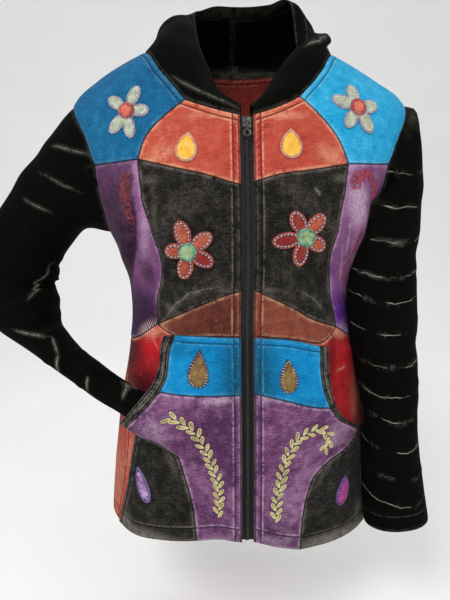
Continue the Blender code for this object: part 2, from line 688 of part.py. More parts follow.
def flower_outline(heart, petals, width):
    """Points round a flower: the farthest reach of its oval petals in each direction."""
    turns = np.radians(np.arange(0, 360, 10))
    radius = np.full(len(turns), heart * 1.12)
    for direction, reach in petals:
        middle, long_half, wide_half = 0.58 * reach, 0.42 * reach, width / 2
        off = turns - math.radians(direction)
        c, s = np.cos(off), np.sin(off)
        a = (c / long_half) ** 2 + (s / wide_half) ** 2
        b = -2 * middle * c / long_half**2
        d = b * b - 4 * a * ((middle / long_half) ** 2 - 1)
        hit = (d > 0) & (c > 0)
        far = np.where(hit, (-b + np.sqrt(np.maximum(d, 0))) / (2 * a), 0)
        radius = np.maximum(radius, far)
    return np.stack([radius * np.cos(turns), radius * np.sin(turns)], axis=-1)


def round_outline(radius, count=12):
    turns = np.linspace(0, 2 * math.pi, count, endpoint=False)
    return np.stack([radius * np.cos(turns), radius * np.sin(turns)], axis=-1)


def teardrop_outline(width, length, tilt, narrowing):
    """Points round a drop with its tip up."""
    turns = np.linspace(0, 2 * math.pi, 16, endpoint=False)
    x = np.sin(turns) * np.sin(turns / 2) ** narrowing
    x *= width / 2 / x.max()
    y = length * 0.5 * np.cos(turns)
    c, s = math.cos(math.radians(tilt)), math.sin(math.radians(tilt))
    return np.stack([x * c - y * s, x * s + y * c], axis=-1)


def add_felt(name, across, height, outline, surface, low, colour):
    spots = spot(across * MM + outline[:, 0], height * MM + outline[:, 1])
    return add_patch(name, spots, surface, colour, low, FELT, step=13 * MM, inset=0.0)


def add_front(side, tag):
    """The sewn pieces of one front, edge to edge."""
    s = side_seams(side, SEAMS)
    rev = back_to_front
    edges = {}
    starts = ("neck_low", "yoke_chest", "chest_waist", "waist_lower", "hem")
    stops = [height_at(s[name], 0) for name in starts]
    for name, top, bottom in zip(("yoke", "chest", "waist", "lower"), stops, stops[1:]):
        edges[name] = rev(zip_edge(side, top, bottom))
    pieces = (
        ("shoulder", "blue", (s["neck_high"], s["shoulder"], s["arm_high"], rev(s["shoulder_strip"]),
                              rev(s["shoulder_yoke"]))),
        ("yoke", "rust", (s["neck_low"], s["shoulder_yoke"], rev(s["yoke_chest"]), edges["yoke"])),
        ("chest", "charcoal", (s["yoke_chest"], s["chest_strip"], rev(s["chest_waist"]), edges["chest"])),
        ("side_strip", "purple", (s["shoulder_strip"], s["arm_low"], s["side_high"], rev(s["strip_lower"]),
                                  rev(s["chest_strip"]))),
        ("waist", "rust", (s["chest_waist"], rev(s["waist_lower"]), edges["waist"])),
        ("front_lower", "red", (s["waist_lower"], s["strip_lower"], s["side_low"], rev(s["hem"]),
                                edges["lower"])),
    )
    for name, colour, lines in pieces:
        add_patch(name + tag, outline_of(*lines), body_cloth, colour)
    return s


def add_pocket(side, tag):
    """The pocket's pieces, which lie on the lower front and stand off it at the hand opening."""
    s = side_seams(side, POCKET_SEAMS)
    rev = back_to_front
    top, seam, foot = (height_at(s[name], 0) for name in ("pocket_top", "band_bottom", "pocket_hem_in"))
    edge, inner = s["mouth_edge"], np.concatenate([s["mouth_high"][:-1], s["mouth_low"]])
    top_end = np.stack([s["pocket_top"][-1], edge[0]])
    foot_end = np.stack([edge[-1], s["mouth_low"][-1]])
    pieces = (
        ("pocket_band", "blue", (s["pocket_top"], s["mouth_high"], rev(s["band_bottom"]),
                                 rev(zip_edge(side, top, seam)))),
        ("pocket", "purple", (s["band_bottom"], s["mouth_low"], s["corner_top"], rev(s["pocket_hem_in"]),
                              rev(zip_edge(side, seam, foot)))),
        ("pocket_corner", "charcoal", (s["corner_top"], s["pocket_hem_out"], rev(s["pocket_side"]))),
        ("pocket_binding", "charcoal", (top_end, edge, foot_end, rev(inner))),
    )
    for name, colour, lines in pieces:
        step = BAND_STEP if name == "pocket_band" else MESH_STEP
        add_patch(name + tag, outline_of(*lines), pocket_cloth, colour, step=step)


def add_back(right, left):
    """One panel from side seam to side seam."""
    rev = back_to_front
    full_turn = (2 * math.pi, 0)
    arm_right, arm_left = back_line(RIGHT, ARM_BACK), back_line(LEFT, ARM_BACK)
    neck_right, neck_left = back_line(RIGHT, NECK_BACK), back_line(LEFT, NECK_BACK)
    hem_start, hem_end = left["hem"][-1], right["hem"][-1] + full_turn
    middle = np.array([math.pi, level_of(-606 * MM)])
    hem = seam_line(np.stack([hem_start, (hem_start * 2 + middle) / 3 + (0, 2 * MM), middle,
                              (hem_end * 2 + middle) / 3 + (0, 2 * MM), hem_end]))
    outline = outline_of(
        left["shoulder"], arm_left, left["side_high"], left["side_low"], hem,
        rev(right["side_low"] + full_turn), rev(right["side_high"] + full_turn),
        rev(arm_right + full_turn), rev(right["shoulder"] + full_turn),
        neck_right + full_turn, rev(neck_left),
    )
    add_patch("back", outline, body_cloth, "rust", step=BACK_STEP)
    return (arm_right, neck_right), (arm_left, neck_left)


def add_zip():
    """The tapes and the closed chain."""
    for side, tag in ((RIGHT, "_right"), (LEFT, "_left")):
        outer = zip_edge(side, ZIP_TOP, ZIP_BOTTOM, TAPE_EDGE)
        inner = zip_edge(side, ZIP_TOP, ZIP_BOTTOM, CHAIN_EDGE + 0.4 * MM)
        add_patch("zip_tape" + tag, np.concatenate([outer, inner[::-1]]), body_cloth, "black", 0.0, 1.2 * MM,
                  inset=0.0)
    right = zip_edge(RIGHT, CHAIN_TOP, ZIP_BOTTOM, CHAIN_EDGE)
    left = zip_edge(LEFT, CHAIN_TOP, ZIP_BOTTOM, CHAIN_EDGE)
    outline = np.concatenate([right, left[::-1]])
    add_patch("zip_chain", outline, body_cloth, "black", -0.4 * MM, 2.6 * MM, inset=0.0)


def hard_box(name, size, place):
    """A box with its size and place set in its mesh."""
    bpy.ops.mesh.primitive_cube_add(size=1)
    made = bpy.context.object
    made.name = name
    made.data.transform(Matrix.Translation(place) @ Matrix.Diagonal((*size, 1)))
    return made


def hard_cylinder(name, radius, length, place, axis, sides):
    bpy.ops.mesh.primitive_cylinder_add(radius=radius, depth=length, vertices=sides)
    made = bpy.context.object
    made.name = name
    turn = Vector((0, 0, 1)).rotation_difference(Vector(axis)).to_matrix().to_4x4()
    made.data.transform(Matrix.Translation(place) @ turn)
    return made


def move_to(made, collection_name):
    for collection in list(made.users_collection):
        collection.objects.unlink(made)
    bpy.data.collections[collection_name].objects.link(made)


def shape_with(target, guide, operation):
    """Joins a guide to the target or cuts it away. The guide itself isn't part of the hoodie."""
    modifier = target.modifiers.new(guide.name, "BOOLEAN")
    modifier.operation = operation
    modifier.solver = "EXACT"
    modifier.object = guide
    guide.hide_render = True
    guide.display_type = "WIRE"
    guide.parent = target.parent
    move_to(guide, "guides")


def add_frame(name, location, tilt, parent):
    frame = bpy.data.objects.new(name, None)
    frame.location = location
    frame.rotation_euler = (tilt, 0, 0)
    frame.parent = parent
    bpy.data.collections["patchwork_hoodie"].objects.link(frame)
    return frame


def add_slider():
    """Slider at the top of the chain and the pull that hangs on its bar. Their local -Y faces out."""
    level = level_of(SLIDER_HEIGHT)
    normal = normals_of(body_ring, 0.0, level)
    frame = add_frame("slider_frame", body_ring(0.0, level), -math.atan2(normal[2], -normal[1]), None)
    opening = SLIDER_FRONT - SLIDER_BACK
    middle = -(SLIDER_FRONT + SLIDER_BACK) / 2
    face = -(SLIDER_FRONT + SLIDER_PLATE)
    bar_place = face - PULL_EYE - 0.35 * MM

    size = (SLIDER_WIDTH, opening + 2 * SLIDER_PLATE, SLIDER_LENGTH)
    slider = hard_box("zip_slider", size, (0, middle, 0))
    slider.parent = frame
    slider.data.materials.append(material_for("gunmetal", "zip_slider"))
    move_to(slider, "patchwork_hoodie")
    channel = hard_box("slider_channel", (SLIDER_WIDTH * 2, opening, SLIDER_LENGTH * 2), (0, middle, 0))
    shape_with(slider, channel, "DIFFERENCE")
    post_middle = SLIDER_LENGTH / 2 - SLIDER_POST / 2 - 0.1 * MM
    size = (2 * POST_HALF, opening + SLIDER_PLATE, SLIDER_POST)
    post = hard_box("slider_post", size, (0, middle, post_middle))
    shape_with(slider, post, "UNION")
    lug_depth = face + 0.4 * MM - (bar_place - BAR_RADIUS - 0.5 * MM)
    lug_middle = face + 0.4 * MM - lug_depth / 2
    for side, tag in ((RIGHT, "_right"), (LEFT, "_left")):
        across = side * (PULL_NECK / 2 + 0.35 * MM + LUG / 2)
        lug = hard_box("slider_lug" + tag, (LUG, lug_depth, 2.6 * MM), (across, lug_middle, 0))
        shape_with(slider, lug, "UNION")
    bar = hard_cylinder("slider_bar", BAR_RADIUS, PULL_NECK + 2 * LUG, (0, bar_place, 0), (1, 0, 0), 12)
    shape_with(slider, bar, "UNION")

    hinge = add_frame("pull_hinge", (0, bar_place, 0), 0.0, frame)
    stem = PULL_LENGTH - PULL_RING
    ring_place = (0, 0, -stem)
    pull = hard_box("zip_pull", (PULL_NECK, PULL_THICK, stem), (0, 0, -stem / 2))
    pull.parent = hinge
    pull.data.materials.append(material_for("gunmetal", "zip_pull"))
    move_to(pull, "patchwork_hoodie")
    bore, hole = BAR_RADIUS + 0.35 * MM, PULL_RING * 0.5
    guides = (
        ("pull_eye", PULL_EYE, PULL_NECK, (0, 0, 0), (1, 0, 0), 20, "UNION"),
        ("pull_ring", PULL_RING, PULL_THICK, ring_place, (0, 1, 0), 24, "UNION"),
        ("pull_bore", bore, PULL_NECK * 3, (0, 0, 0), (1, 0, 0), 12, "DIFFERENCE"),
        ("pull_hole", hole, PULL_THICK * 4, ring_place, (0, 1, 0), 20, "DIFFERENCE"),
    )
    for name, radius, length, place, axis, sides, operation in guides:
        shape_with(pull, hard_cylinder(name, radius, length, place, axis, sides), operation)


def add_felts():
    hearts = ("felt_orange", "felt_orange", "felt_mint", "felt_mint")
    colours = ("felt_pale", "felt_pale", "felt_orange", "felt_orange")
    on_body = CLOTH + LAYER_GAP
    on_petals = on_body + FELT + LAYER_GAP
    for i, (across, height, heart, petals) in enumerate(FLOWERS):
        outline = flower_outline(heart, petals, PETAL_WIDTHS[i]) * MM
        add_felt(f"flower_{i + 1}", across, height, outline, body_cloth, on_body, colours[i])
        outline = round_outline(heart * MM)
        add_felt(f"flower_heart_{i + 1}", across, height, outline, body_cloth, on_petals, hearts[i])
    colours = ("felt_yellow", "felt_yellow", "felt_brown", "felt_brown", "felt_purple", "felt_purple")
    for i, (across, height, width, length, tilt, narrowing, panel, gap) in enumerate(TEARDROPS):
        outline = teardrop_outline(width, length, tilt, narrowing) * MM
        surface = body_cloth if panel == "body" else pocket_cloth
        add_felt(f"teardrop_{i + 1}", across, height, outline, surface, CLOTH + gap * MM, colours[i])


def clear_scene():
    for thing in list(bpy.data.objects):
        bpy.data.objects.remove(thing, do_unlink=True)
    for name in ("patchwork_hoodie", "guides"):
        bpy.context.scene.collection.children.link(bpy.data.collections.new(name))


def main():
    clear_scene()
    fronts = {}
    for side, tag in ((RIGHT, "_right"), (LEFT, "_left")):
        fronts[side] = add_front(side, tag)
        add_pocket(side, tag)
    backs = dict(zip((RIGHT, LEFT), add_back(fronts[RIGHT], fronts[LEFT])))
    for side, tag in ((RIGHT, "_right"), (LEFT, "_left")):
        s = fronts[side]
        arm_back, neck_back = backs[side]
        armhole = outline_of(s["arm_high"], s["arm_low"], arm_back[::-1])
        add_sleeve("sleeve" + tag, side, armhole)
        neckline = np.concatenate([s["neck_low"][:-1], s["neck_high"][:-1], neck_back])
        add_hood_half("hood" + tag, side, neckline)
    add_zip()
    add_slider()
    add_felts()


if __name__ == "__main__":
    main()
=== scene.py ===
"""Looks of a zip-front patchwork hoodie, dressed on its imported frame.

Metres, +Z up. The wearer faces -Y, so their right arm is at -X: it is bent, with the hand in the pocket.
Each cloth piece is a fine shell on the form of its own solid, with creases, seams, stitches and its own dye.
"""

import math
from functools import reduce

import bmesh
import bpy
import numpy as np
from mathutils import Matrix, Vector
from mathutils.geometry import delaunay_2d_cdt


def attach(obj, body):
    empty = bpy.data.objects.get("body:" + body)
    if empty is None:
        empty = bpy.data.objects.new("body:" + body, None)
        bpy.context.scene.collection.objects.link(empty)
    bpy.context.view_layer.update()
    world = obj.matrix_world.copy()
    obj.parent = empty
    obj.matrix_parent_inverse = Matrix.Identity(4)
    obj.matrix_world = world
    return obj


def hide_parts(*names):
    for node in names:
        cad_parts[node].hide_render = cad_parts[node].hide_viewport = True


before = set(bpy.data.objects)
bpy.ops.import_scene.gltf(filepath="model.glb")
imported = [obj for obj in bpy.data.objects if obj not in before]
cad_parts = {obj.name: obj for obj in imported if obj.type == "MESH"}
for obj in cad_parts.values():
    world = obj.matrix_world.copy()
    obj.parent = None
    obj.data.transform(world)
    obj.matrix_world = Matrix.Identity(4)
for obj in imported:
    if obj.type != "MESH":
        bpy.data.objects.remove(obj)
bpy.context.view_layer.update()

MM = 0.001
RIGHT, LEFT = -1, 1  # sides of the wearer, as signs of X
SIDES = ((RIGHT, "_right"), (LEFT, "_left"))

# Cloth
CLOTH = 2.0 * MM  # jersey wall
SEAM_GAP = 0.4 * MM  # between two pieces sewn edge to edge
POCKET_GAP = 1.9 * MM  # between the pocket and the panel under it
SEAM_STEP = 4 * MM  # spacing of the points along a seam
FLAT_RADIUS = 150 * MM  # turns an angle round the body into a distance on a panel's flat plan
KNIT_RADIUS = 165  # turns it into a distance across the knit, in millimetres
NECK_ROW, ZIP_ROW, HEM_ROW, EDGE_ROW, BINDING_ROW = 7, 8.5, 18, 8, 2.6  # stitches, millimetres from the edge
SECOND_ROW = 6.7 * MM  # from the row beside the zip to a second row, nearer to the zip
FAR = 1.0  # stands for the distance of a line that a piece does not have
# How deep and how wide an edge is rounded, and how far in its rows of points lie.
PANEL_RIM, PANEL_ROWS = (0.7 * MM, 1.2 * MM), (0.9 * MM, 2.4 * MM, 4.4 * MM)
FELT_RIM, FELT_ROWS = (0.55 * MM, 0.8 * MM), (0.5 * MM, 1.3 * MM)
# Spacing of the points over each kind of piece.
PANEL_STEP, STRIP_STEP, POCKET_STEP, BACK_STEP = 4.6 * MM, 2.6 * MM, 3.6 * MM, 6 * MM
FELT_STEP, TAPE_STEP = 2.4 * MM, 3 * MM
# Soft unevenness of the cloth: how high, how wide, and how far from an edge it is full.
PANEL_RIPPLE, GRID_RIPPLE = (0.5 * MM, 19 * MM, 8 * MM), (0.6 * MM, 16 * MM, 6 * MM)
GRID_RIM = (0.5 * MM, 1.2 * MM)
EVEN_UNDER = 1.8 * MM  # thinner pieces are even
FLOWER_FELT, HEART_FELT, DROP_FELT = 2.0 * MM, 1.6 * MM, 1.9 * MM  # how thick each felt is
FELT_LIFT, HEART_LIFT = 0.35 * MM, 0.1 * MM  # under a felt, and under the heart of a flower

# Zip
ZIP_GROUND = 7.0 * MM  # from the middle of the zip to the cloth on either side
TAPE_INNER, TAPE_OUTER = 0.15 * MM, 12.6 * MM  # edges of a tape, from the middle of the zip
ZIP_TOP, ZIP_BOTTOM = -97 * MM, -601 * MM
CHAIN_TOP = -102.5 * MM
TOOTH_PITCH, TOOTH = 1.5 * MM, (4.6 * MM, 2.4 * MM, 1.2 * MM)
TOOTH_SHIFT, TOOTH_OUT = 0.7, 1.0 * MM  # to either side, in millimetres, and out from the tapes
TAPE_LOW, TAPE_THICK, TAPE_RIM, TAPE_ROWS = -1.1 * MM, 0.9 * MM, (0.2 * MM, 0.5 * MM), (0.5 * MM,)

# The body from the neck points down past the hem, in millimetres. A row is one level ring:
# height, half width on the right, half width on the left, front, back, how far it is set back.
BODY_RINGS = (
    (0, 109, 105, 44, 58, 0),
    (-14, 134, 129, 58, 68, 0),
    (-28, 159, 154, 70, 79, 1),
    (-44, 182, 179, 80, 88, 2),
    (-60, 201, 203, 89, 96, 2),
    (-90, 214, 219, 103, 107, 2),
    (-130, 210, 213, 110, 114, 2),
    (-175, 190, 190, 118, 116, 2),
    (-220, 168, 168, 124, 114, 2),
    (-262, 149, 150, 124, 108, 4),
    (-315, 143, 146, 116, 98, 8),
    (-370, 147, 153, 116, 100, 10),
    (-440, 160, 166, 122, 112, 12),
    (-520, 172, 176, 126, 120, 16),
    (-640, 184, 186, 128, 122, 24),
)
BODY_ROUNDNESS, SLEEVE_ROUNDNESS = 0.86, 0.9  # under 1 flattens a ring's front and back, or its sides

# Seams seen from the front, in millimetres: distance from the zip and height, on the right and on the left.
SIDE = 999  # further out than any ring: the point lies on the side line
# Where three or more seams meet.
COLLAR, BREAST = (67, -78, 61, -74), (121, -142, 117, -148)
ARM, WAIST = (174, -145, 174, -145), (105, -334, 113, -342)
TIP, PIT = (SIDE, -1, SIDE, -1), (SIDE, -222, SIDE, -222)
HIP, CORNER = (SIDE, -366, SIDE, -368), (169, -609, 167, -613)
BAND_END, MOUTH_END = (88, -408, 96, -437), (133, -468, 145, -481)
HEM_SPLIT, POCKET_FOOT = (62, -602, 64, -618), (163, -607, 162, -611)
SEAMS = {
    "neck_low": ((7, -96, 7, -96), (28, -91, 32, -88), (51, -84, 46, -82), COLLAR),
    "neck_high": (COLLAR, (81, -59, 78, -56), (95, -40, 90, -41), (106, -20, 102, -22), TIP),
    "shoulder_yoke": (COLLAR, (93, -98, 89, -101), (110, -115, 104, -119), BREAST),
    "shoulder_strip": (BREAST, (148, -144, 146, -147), ARM),
    "yoke_chest": ((7, -172, 7, -169), (24, -168, 39, -161), (51, -160, 65, -157), (82, -152, 90, -153),
                   BREAST),
    "chest_strip": (BREAST, (116, -187, 112, -185), (107, -220, 106, -213),
                    (99, -245, 98, -240), (98, -270, 97, -264), (102, -297, 103, -292), WAIST),
    "chest_waist": ((7, -290, 7, -289), (26, -295, 23, -296), (53, -307, 50, -310), (79, -320, 77, -327),
                    WAIST),
    "strip_lower": (WAIST, (125, -351, 132, -355), HIP),
    "waist_lower": ((7, -345, 7, -344), (40, -345, 56, -351), (84, -346, 94, -358), WAIST),
    "arm_high": ((SIDE, -66, SIDE, -66), (201, -82, 203, -82), (187, -109, 191, -107), ARM),
    "arm_low": (ARM, (172, -176, 170, -176), (168, -206, 167, -206), PIT),
    "side_high": (PIT, (SIDE, -290, SIDE, -290), HIP),
    "side_low": (HIP, (149, -440, 157, -440), (149, -500, 158, -500), (157, -550, 160, -550), CORNER),
    "hem": ((7, -603, 7, -603), (33, -600, 35, -611), (63, -603, 66, -619), (101, -609, 102, -621),
            (143, -614, 138, -619), CORNER),
    "shoulder": (TIP, (SIDE, -20, SIDE, -20), (SIDE, -40, SIDE, -40), (SIDE, -66, SIDE, -66)),
}
# Seams of the back: degrees round from the zip, and height in millimetres.
ARM_BACK = ((90, -66), (106, -84), (116, -112), (119, -145), (114, -184), (103, -212), (90, -222))
NECK_BACK = ((90, -1), (120, -5), (150, -11), (180, -14))

# Pocket, on the same grid as the seams.
POCKET_SEAMS = {
    "pocket_top": ((7, -345, 7, -345), (48, -344, 50, -350), (83, -344, 86, -361)),
    "band_bottom": ((7, -414, 7, -412), (42, -414, 42, -422), (74, -411, 76, -433), BAND_END),
    "mouth_high": ((83, -344, 86, -361), (80, -370, 84, -386), (82, -392, 88, -414), BAND_END),
    "mouth_low": (BAND_END, (101, -429, 106, -452), (118, -450, 126, -467), MOUTH_END),
    "mouth_edge": ((92, -346, 95, -362), (87, -368, 94, -385), (91, -393, 97, -412), (105, -419, 106, -441),
                   (121, -443, 126, -463), (140, -462, 150, -474)),
    "corner_top": (MOUTH_END, (115, -464, 122, -498), (99, -466, 98, -508),
                   (86, -483, 80, -522), (75, -515, 71, -543), (67, -550, 66, -570), HEM_SPLIT),
    "pocket_side": (MOUTH_END, (139, -496, 151, -508), (149, -550, 155, -553), POCKET_FOOT),
    "pocket_hem_in": ((7, -601, 7, -601), (33, -599, 35, -609), HEM_SPLIT),
    "pocket_hem_out": (HEM_SPLIT, (101, -607, 102, -619), (143, -612, 138, -617), POCKET_FOOT),
}
# Ends of the hand openings, as distance and height, and how far the cloth stands off over the hand.
MOUTH_TOP = {RIGHT: (88, -345), LEFT: (91, -355)}
MOUTH_BOTTOM = {RIGHT: (138, -467), LEFT: (148, -476)}
MOUTH_BULGE = {RIGHT: 36 * MM, LEFT: 9 * MM}
MOUTH_REACH = 85 * MM
BULGE_FROM, BULGE_FULL = 0 * MM, 112 * MM  # distances from the zip between which the bulge grows
BULGE_FLOOR, BULGE_CLEAR = -600 * MM, -480 * MM  # heights between which it fades to the hem

FOLD_TURN = (-0.05, 0.25)  # how much a place faces the front, between which the folds of the front grow
ZIP_STRAIGHT, ZIP_FOLDED = 6 * MM, 34 * MM  # distances from the zip between which all folds grow
# Largest folds of the body, in millimetres: across, height, half length, half width, depth,
# lean from upright in degrees, and face, which is 1 for the front and -1 for the back.
FOLDS = (
    (-137, -216, 55, 12, 7, 4, 1), (-112, -250, 40, 12, -4, -14, 1), (136, -205, 55, 12, 6, -6, 1),
    (-72, -196, 70, 18, 4, 42, 1), (74, -205, 70, 18, 4, -42, 1), (-60, -292, 55, 15, 4, 68, 1),
    (62, -300, 60, 15, 4, -66, 1), (100, -300, 50, 14, -4, -50, 1), (20, -262, 50, 16, 3, -80, 1),
    (45, -560, 60, 32, 4, 4, 1), (-40, -575, 50, 30, -3, -4, 1), (-172, -572, 45, 30, 8, 0, -1),
    (-80, -170, 80, 22, 6, -35, -1), (80, -175, 80, 22, 6, 35, -1), (0, -325, 100, 20, 7, 90, -1),
    (60, -290, 70, 18, 6, -72, -1), (-60, -290, 70, 18, 6, 72, -1), (90, -540, 70, 22, 6, 3, -1),
    (-60, -550, 70, 22, -5, -3, -1),
)

# Sleeves. A row is one section, in millimetres: x, y and z of its middle, its width across the bend
# and its depth from front to back.
SLEEVES = {
    RIGHT: (
        (-242, 10, -184, 97, 102),
        (-268, 15, -213, 95, 98),
        (-290, 20, -243, 98, 94),
        (-304, 24, -274, 108, 94),
        (-303, 21, -306, 104, 88),
        (-285, 13, -336, 78, 80),
        (-261, 1, -365, 49, 66),
        (-232, -13, -389, 36, 54),
        (-201, -32, -406, 35, 42),
        (-174, -52, -419, 35, 31),
        (-146, -73, -429, 35, 20),
        (-120, -92, -440, 35, 17),
        (-97, -102, -451, 35, 14),
    ),
    LEFT: (
        (182, -24, -212, 82, 126),
        (175, -38, -256, 87, 116),
        (174, -46, -300, 85, 108),
        (179, -53, -360, 80, 98),
        (184, -58, -424, 70, 90),
        (187, -62, -482, 68, 84),
        (193, -66, -544, 72, 78),
        (199, -71, -600, 78, 72),
    ),
}
SLEEVE_RINGS = {RIGHT: 170, LEFT: 120}
HEAD_SHARE = 0.022  # how far along the sleeve its head stands up from the armhole
HEAD_OUT, HEAD_RISE = 3.2 * MM, 5 * MM
HEAD_FROM, HEAD_FULL = 20, 70  # degrees up round the armhole between which the head rises
FOLDS_FULL, CLEAR_FULL = 0.03, 0.055  # how far along the folds, and the room beside the body, are full
SLEEVE_GAP = 1.0 * MM  # between the hanging sleeve and the cloth beside it
SLEEVE_GIRTH, SLEEVE_KNIT = 0.24, 0.3  # metres round a sleeve, for its stitches and for its knit
POCKET_ROOM_FROM, POCKET_ROOM_FULL = -405 * MM, -455 * MM  # heights from which it leaves room for the pocket
# Folds of the sleeves: how far along from 0 to 1, degrees round from the outer side, the spreads of
# both, and depth.
SLEEVE_FOLDS = {
    RIGHT: (
        (0.06, 0, 0.040, 70, 3), (0.14, 60, 0.030, 60, 5), (0.22, 100, 0.025, 50, -4),
        (0.33, 130, 0.025, 55, 6), (0.42, 165, 0.022, 50, -5), (0.49, 175, 0.022, 60, 4),
        (0.56, 160, 0.020, 60, -5), (0.30, 300, 0.030, 60, 4), (0.45, 20, 0.040, 40, 4),
    ),
    LEFT: (
        (0.03, 0, 0.030, 60, 8), (0.08, 0, 0.050, 65, 12), (0.16, 120, 0.030, 55, 4),
        (0.26, 60, 0.030, 60, -3), (0.38, 110, 0.030, 55, 3), (0.50, 40, 0.030, 60, -3),
        (0.64, 80, 0.030, 60, 3), (0.30, 270, 0.040, 60, 4), (0.55, 250, 0.040, 60, -4),
    ),
}

# Hood, worn down. A row is one upright section: degrees round the neck from the zip, then for each
# point above the neckline its distance from the neck's middle and its height, in millimetres.
HOOD_BACK = (
    (140, 90, 3, 113, -34, 131, -72, 152, -44, 130, 36, 70, 70),
    (160, 80, 4, 114, -56, 135, -106, 161, -76, 146, 26, 74, 82),
    (180, 76, 5, 115, -62, 136, -116, 163, -86, 150, 24, 76, 84),
)
HOODS = {
    RIGHT: (
        (4, 104, -91, 102, -87, 99, -85, 95, -85, 92, -89, 91, -95),
        (28, 105, -72, 96, -63, 84, -57, 71, -56, 61, -62, 58, -75),
        (60, 106, -14, 96, -3, 84, 2, 70, 2, 58, -5, 55, -20),
        (90, 108, 7, 101, 18, 90, 30, 75, 38, 58, 31, 53, 14),
        (115, 107, 7, 112, 19, 109, 33, 97, 45, 77, 54, 60, 54),
    ) + HOOD_BACK,
    LEFT: (
        (4, 104, -91, 102, -87, 99, -85, 95, -85, 92, -89, 91, -95),
        (28, 105, -70, 98, -60, 88, -54, 76, -52, 66, -57, 62, -72),
        (60, 105, -15, 101, -5, 93, -2, 83, -5, 75, -10, 71, -24),
        (86, 108, 6, 115, 13, 111, 20, 97, 13, 82, 4, 75, -8),
        (106, 104, 10, 110, 20, 108, 32, 98, 38, 86, 38, 78, 32),
        (120, 103, 7, 115, 22, 120, 43, 109, 61, 94, 76, 82, 76),
        (142, 91, 3, 114, -32, 132, -68, 152, -38, 124, 50, 74, 80),
    ) + HOOD_BACK[1:],
}
HOOD_STEPS = 52  # points from the neckline to the free edge
HOOD_GAP, HOOD_HEM = 0.03, 17 * MM  # half the gap at its seam, in millimetres, and the depth of its hem
# Its folds along the pale lines: half width, where the cloth stands up and is tucked in beside a line, and by
# how much.
HOOD_FOLD, HOOD_FOLDS_AT, HOOD_STAND, HOOD_TUCK = 4 * MM, (2 * MM, -4 * MM), 1.6 * MM, 1.4 * MM

# Felt pieces. Flowers: across, height, radius of the heart, width of a petal, each petal's direction in
# degrees and reach, and the directions in which it is dyed darker, with how much.
FLOWERS = (
    (-132, -89, 8.7, 13.5, ((0, 25), (67, 31), (142, 27), (229, 30), (278, 30)), ()),
    (129, -85, 9.5, 15, ((7, 25), (105, 28), (162, 32), (236, 27), (302, 32)), ()),
    (-66, -245, 10, 17, ((37, 32), (105, 35), (176, 25), (260, 31), (333, 31)), ((333, 0.9), (260, 0.35))),
    (64, -230, 10.4, 17, ((52, 30), (118, 31), (189, 38), (254, 33), (331, 26)),
     ((189, 0.95), (254, 0.8), (118, 0.8))),
)
# Teardrops: across, height, width, length, tilt in degrees, how much it narrows to its tip, and felt.
TEARDROPS = (
    (-66, -131, 24, 32, -8, 0.6, "yellow"),
    (49, -128, 25, 32, 3, 0.6, "yellow"),
    (-54, -382, 20, 42, 0, 1.0, "brown"),
    (47, -393, 21, 41, 2, 1.0, "brown"),
    (-126, -538, 15, 45, 14, 0.6, "purple_right"),
    (120, -551, 17, 39, -11, 0.6, "purple_left"),
)
# Stitches of the felts, in millimetres. Wraps over the edge: height on the cloth, height on top, distance
# in, spacing and radius. Dashes inside it: distance in, height, length, gap and radius.
STITCHES = {
    "flower_pale": ((2.3, 4.25, 1.8, 2.7, 0.36), (1.7, 4.4, 2.0, 1.5, 0.4)),
    "flower": (None, (2.0, 4.45, 2.6, 1.5, 0.62)),
    "rim": ((2.3, 4.05, 0.9, 1.3, 0.4), (0.5, 3.95, 1.6, 0.2, 0.42)),
    "line": (None, (3.0, 4.35, 1.6, 1.0, 0.3)),
    "heart": ((4.65, 5.95, 1.9, 1.9, 0.4), (2.0, 6.15, 1.7, 0.9, 0.42)),
    "teardrop": ((2.3, 4.15, 1.9, 3.1, 0.38), (1.8, 4.3, 2.0, 1.3, 0.42)),
}

# Smaller creases of the body, in the same columns as the folds.
CREASES = (
    (-118, -226, 42, 6, 3.0, 5, 1), (-134, -230, 38, 7, -2.2, 4, 1), (-128, -200, 38, 5, 2.2, 8, 1),
    (-134, -262, 30, 5, 1.8, -6, 1), (-112, -232, 30, 4, -1.6, 14, 1), (-104, -178, 26, 6, 1.2, 50, 1),
    (-92, -206, 30, 6, 1.2, 58, 1), (106, -176, 26, 6, 1.2, -50, 1), (128, -238, 34, 5, 1.8, 8, 1),
    (136, -282, 28, 5, 1.6, -10, 1), (92, -216, 30, 6, 1.2, -58, 1), (-40, -118, 30, 6, 0.8, 70, 1),
    (44, -112, 30, 6, 0.8, -70, 1), (-30, -322, 34, 5, 1.3, 82, 1), (34, -318, 34, 5, 1.3, -80, 1),
    (70, -334, 24, 5, 1.1, -72, 1), (-70, -330, 24, 5, 1.1, 70, 1), (-122, -352, 26, 7, 1.6, 66, 1),
    (-118, -384, 26, 7, 1.6, 56, 1), (128, -372, 26, 6, 1.5, -60, 1), (130, -404, 26, 6, 1.4, -50, 1),
    (-92, -456, 22, 5, 1.4, 66, 1), (-76, -446, 20, 4, 1.2, 60, 1), (96, -474, 20, 5, 1.2, -60, 1),
    (-60, -424, 26, 6, 1.0, 84, 1), (28, -436, 26, 6, 1.0, -84, 1), (-104, -560, 30, 7, 1.2, 30, 1),
    (108, -572, 30, 7, 1.2, -34, 1), (-148, -84, 26, 8, 1.2, 40, 1), (150, -82, 26, 8, 1.2, -40, 1),
    (-100, -240, 60, 9, 2.5, -50, -1), (100, -240, 60, 9, 2.5, 50, -1), (-50, -360, 50, 9, 2.5, 80, -1),
    (55, -352, 50, 9, 2.5, -80, -1), (-110, -420, 60, 10, 2.5, 12, -1),
    (112, -430, 60, 10, 2.5, -12, -1), (10, -470, 60, 10, 2.2, 4, -1),
)
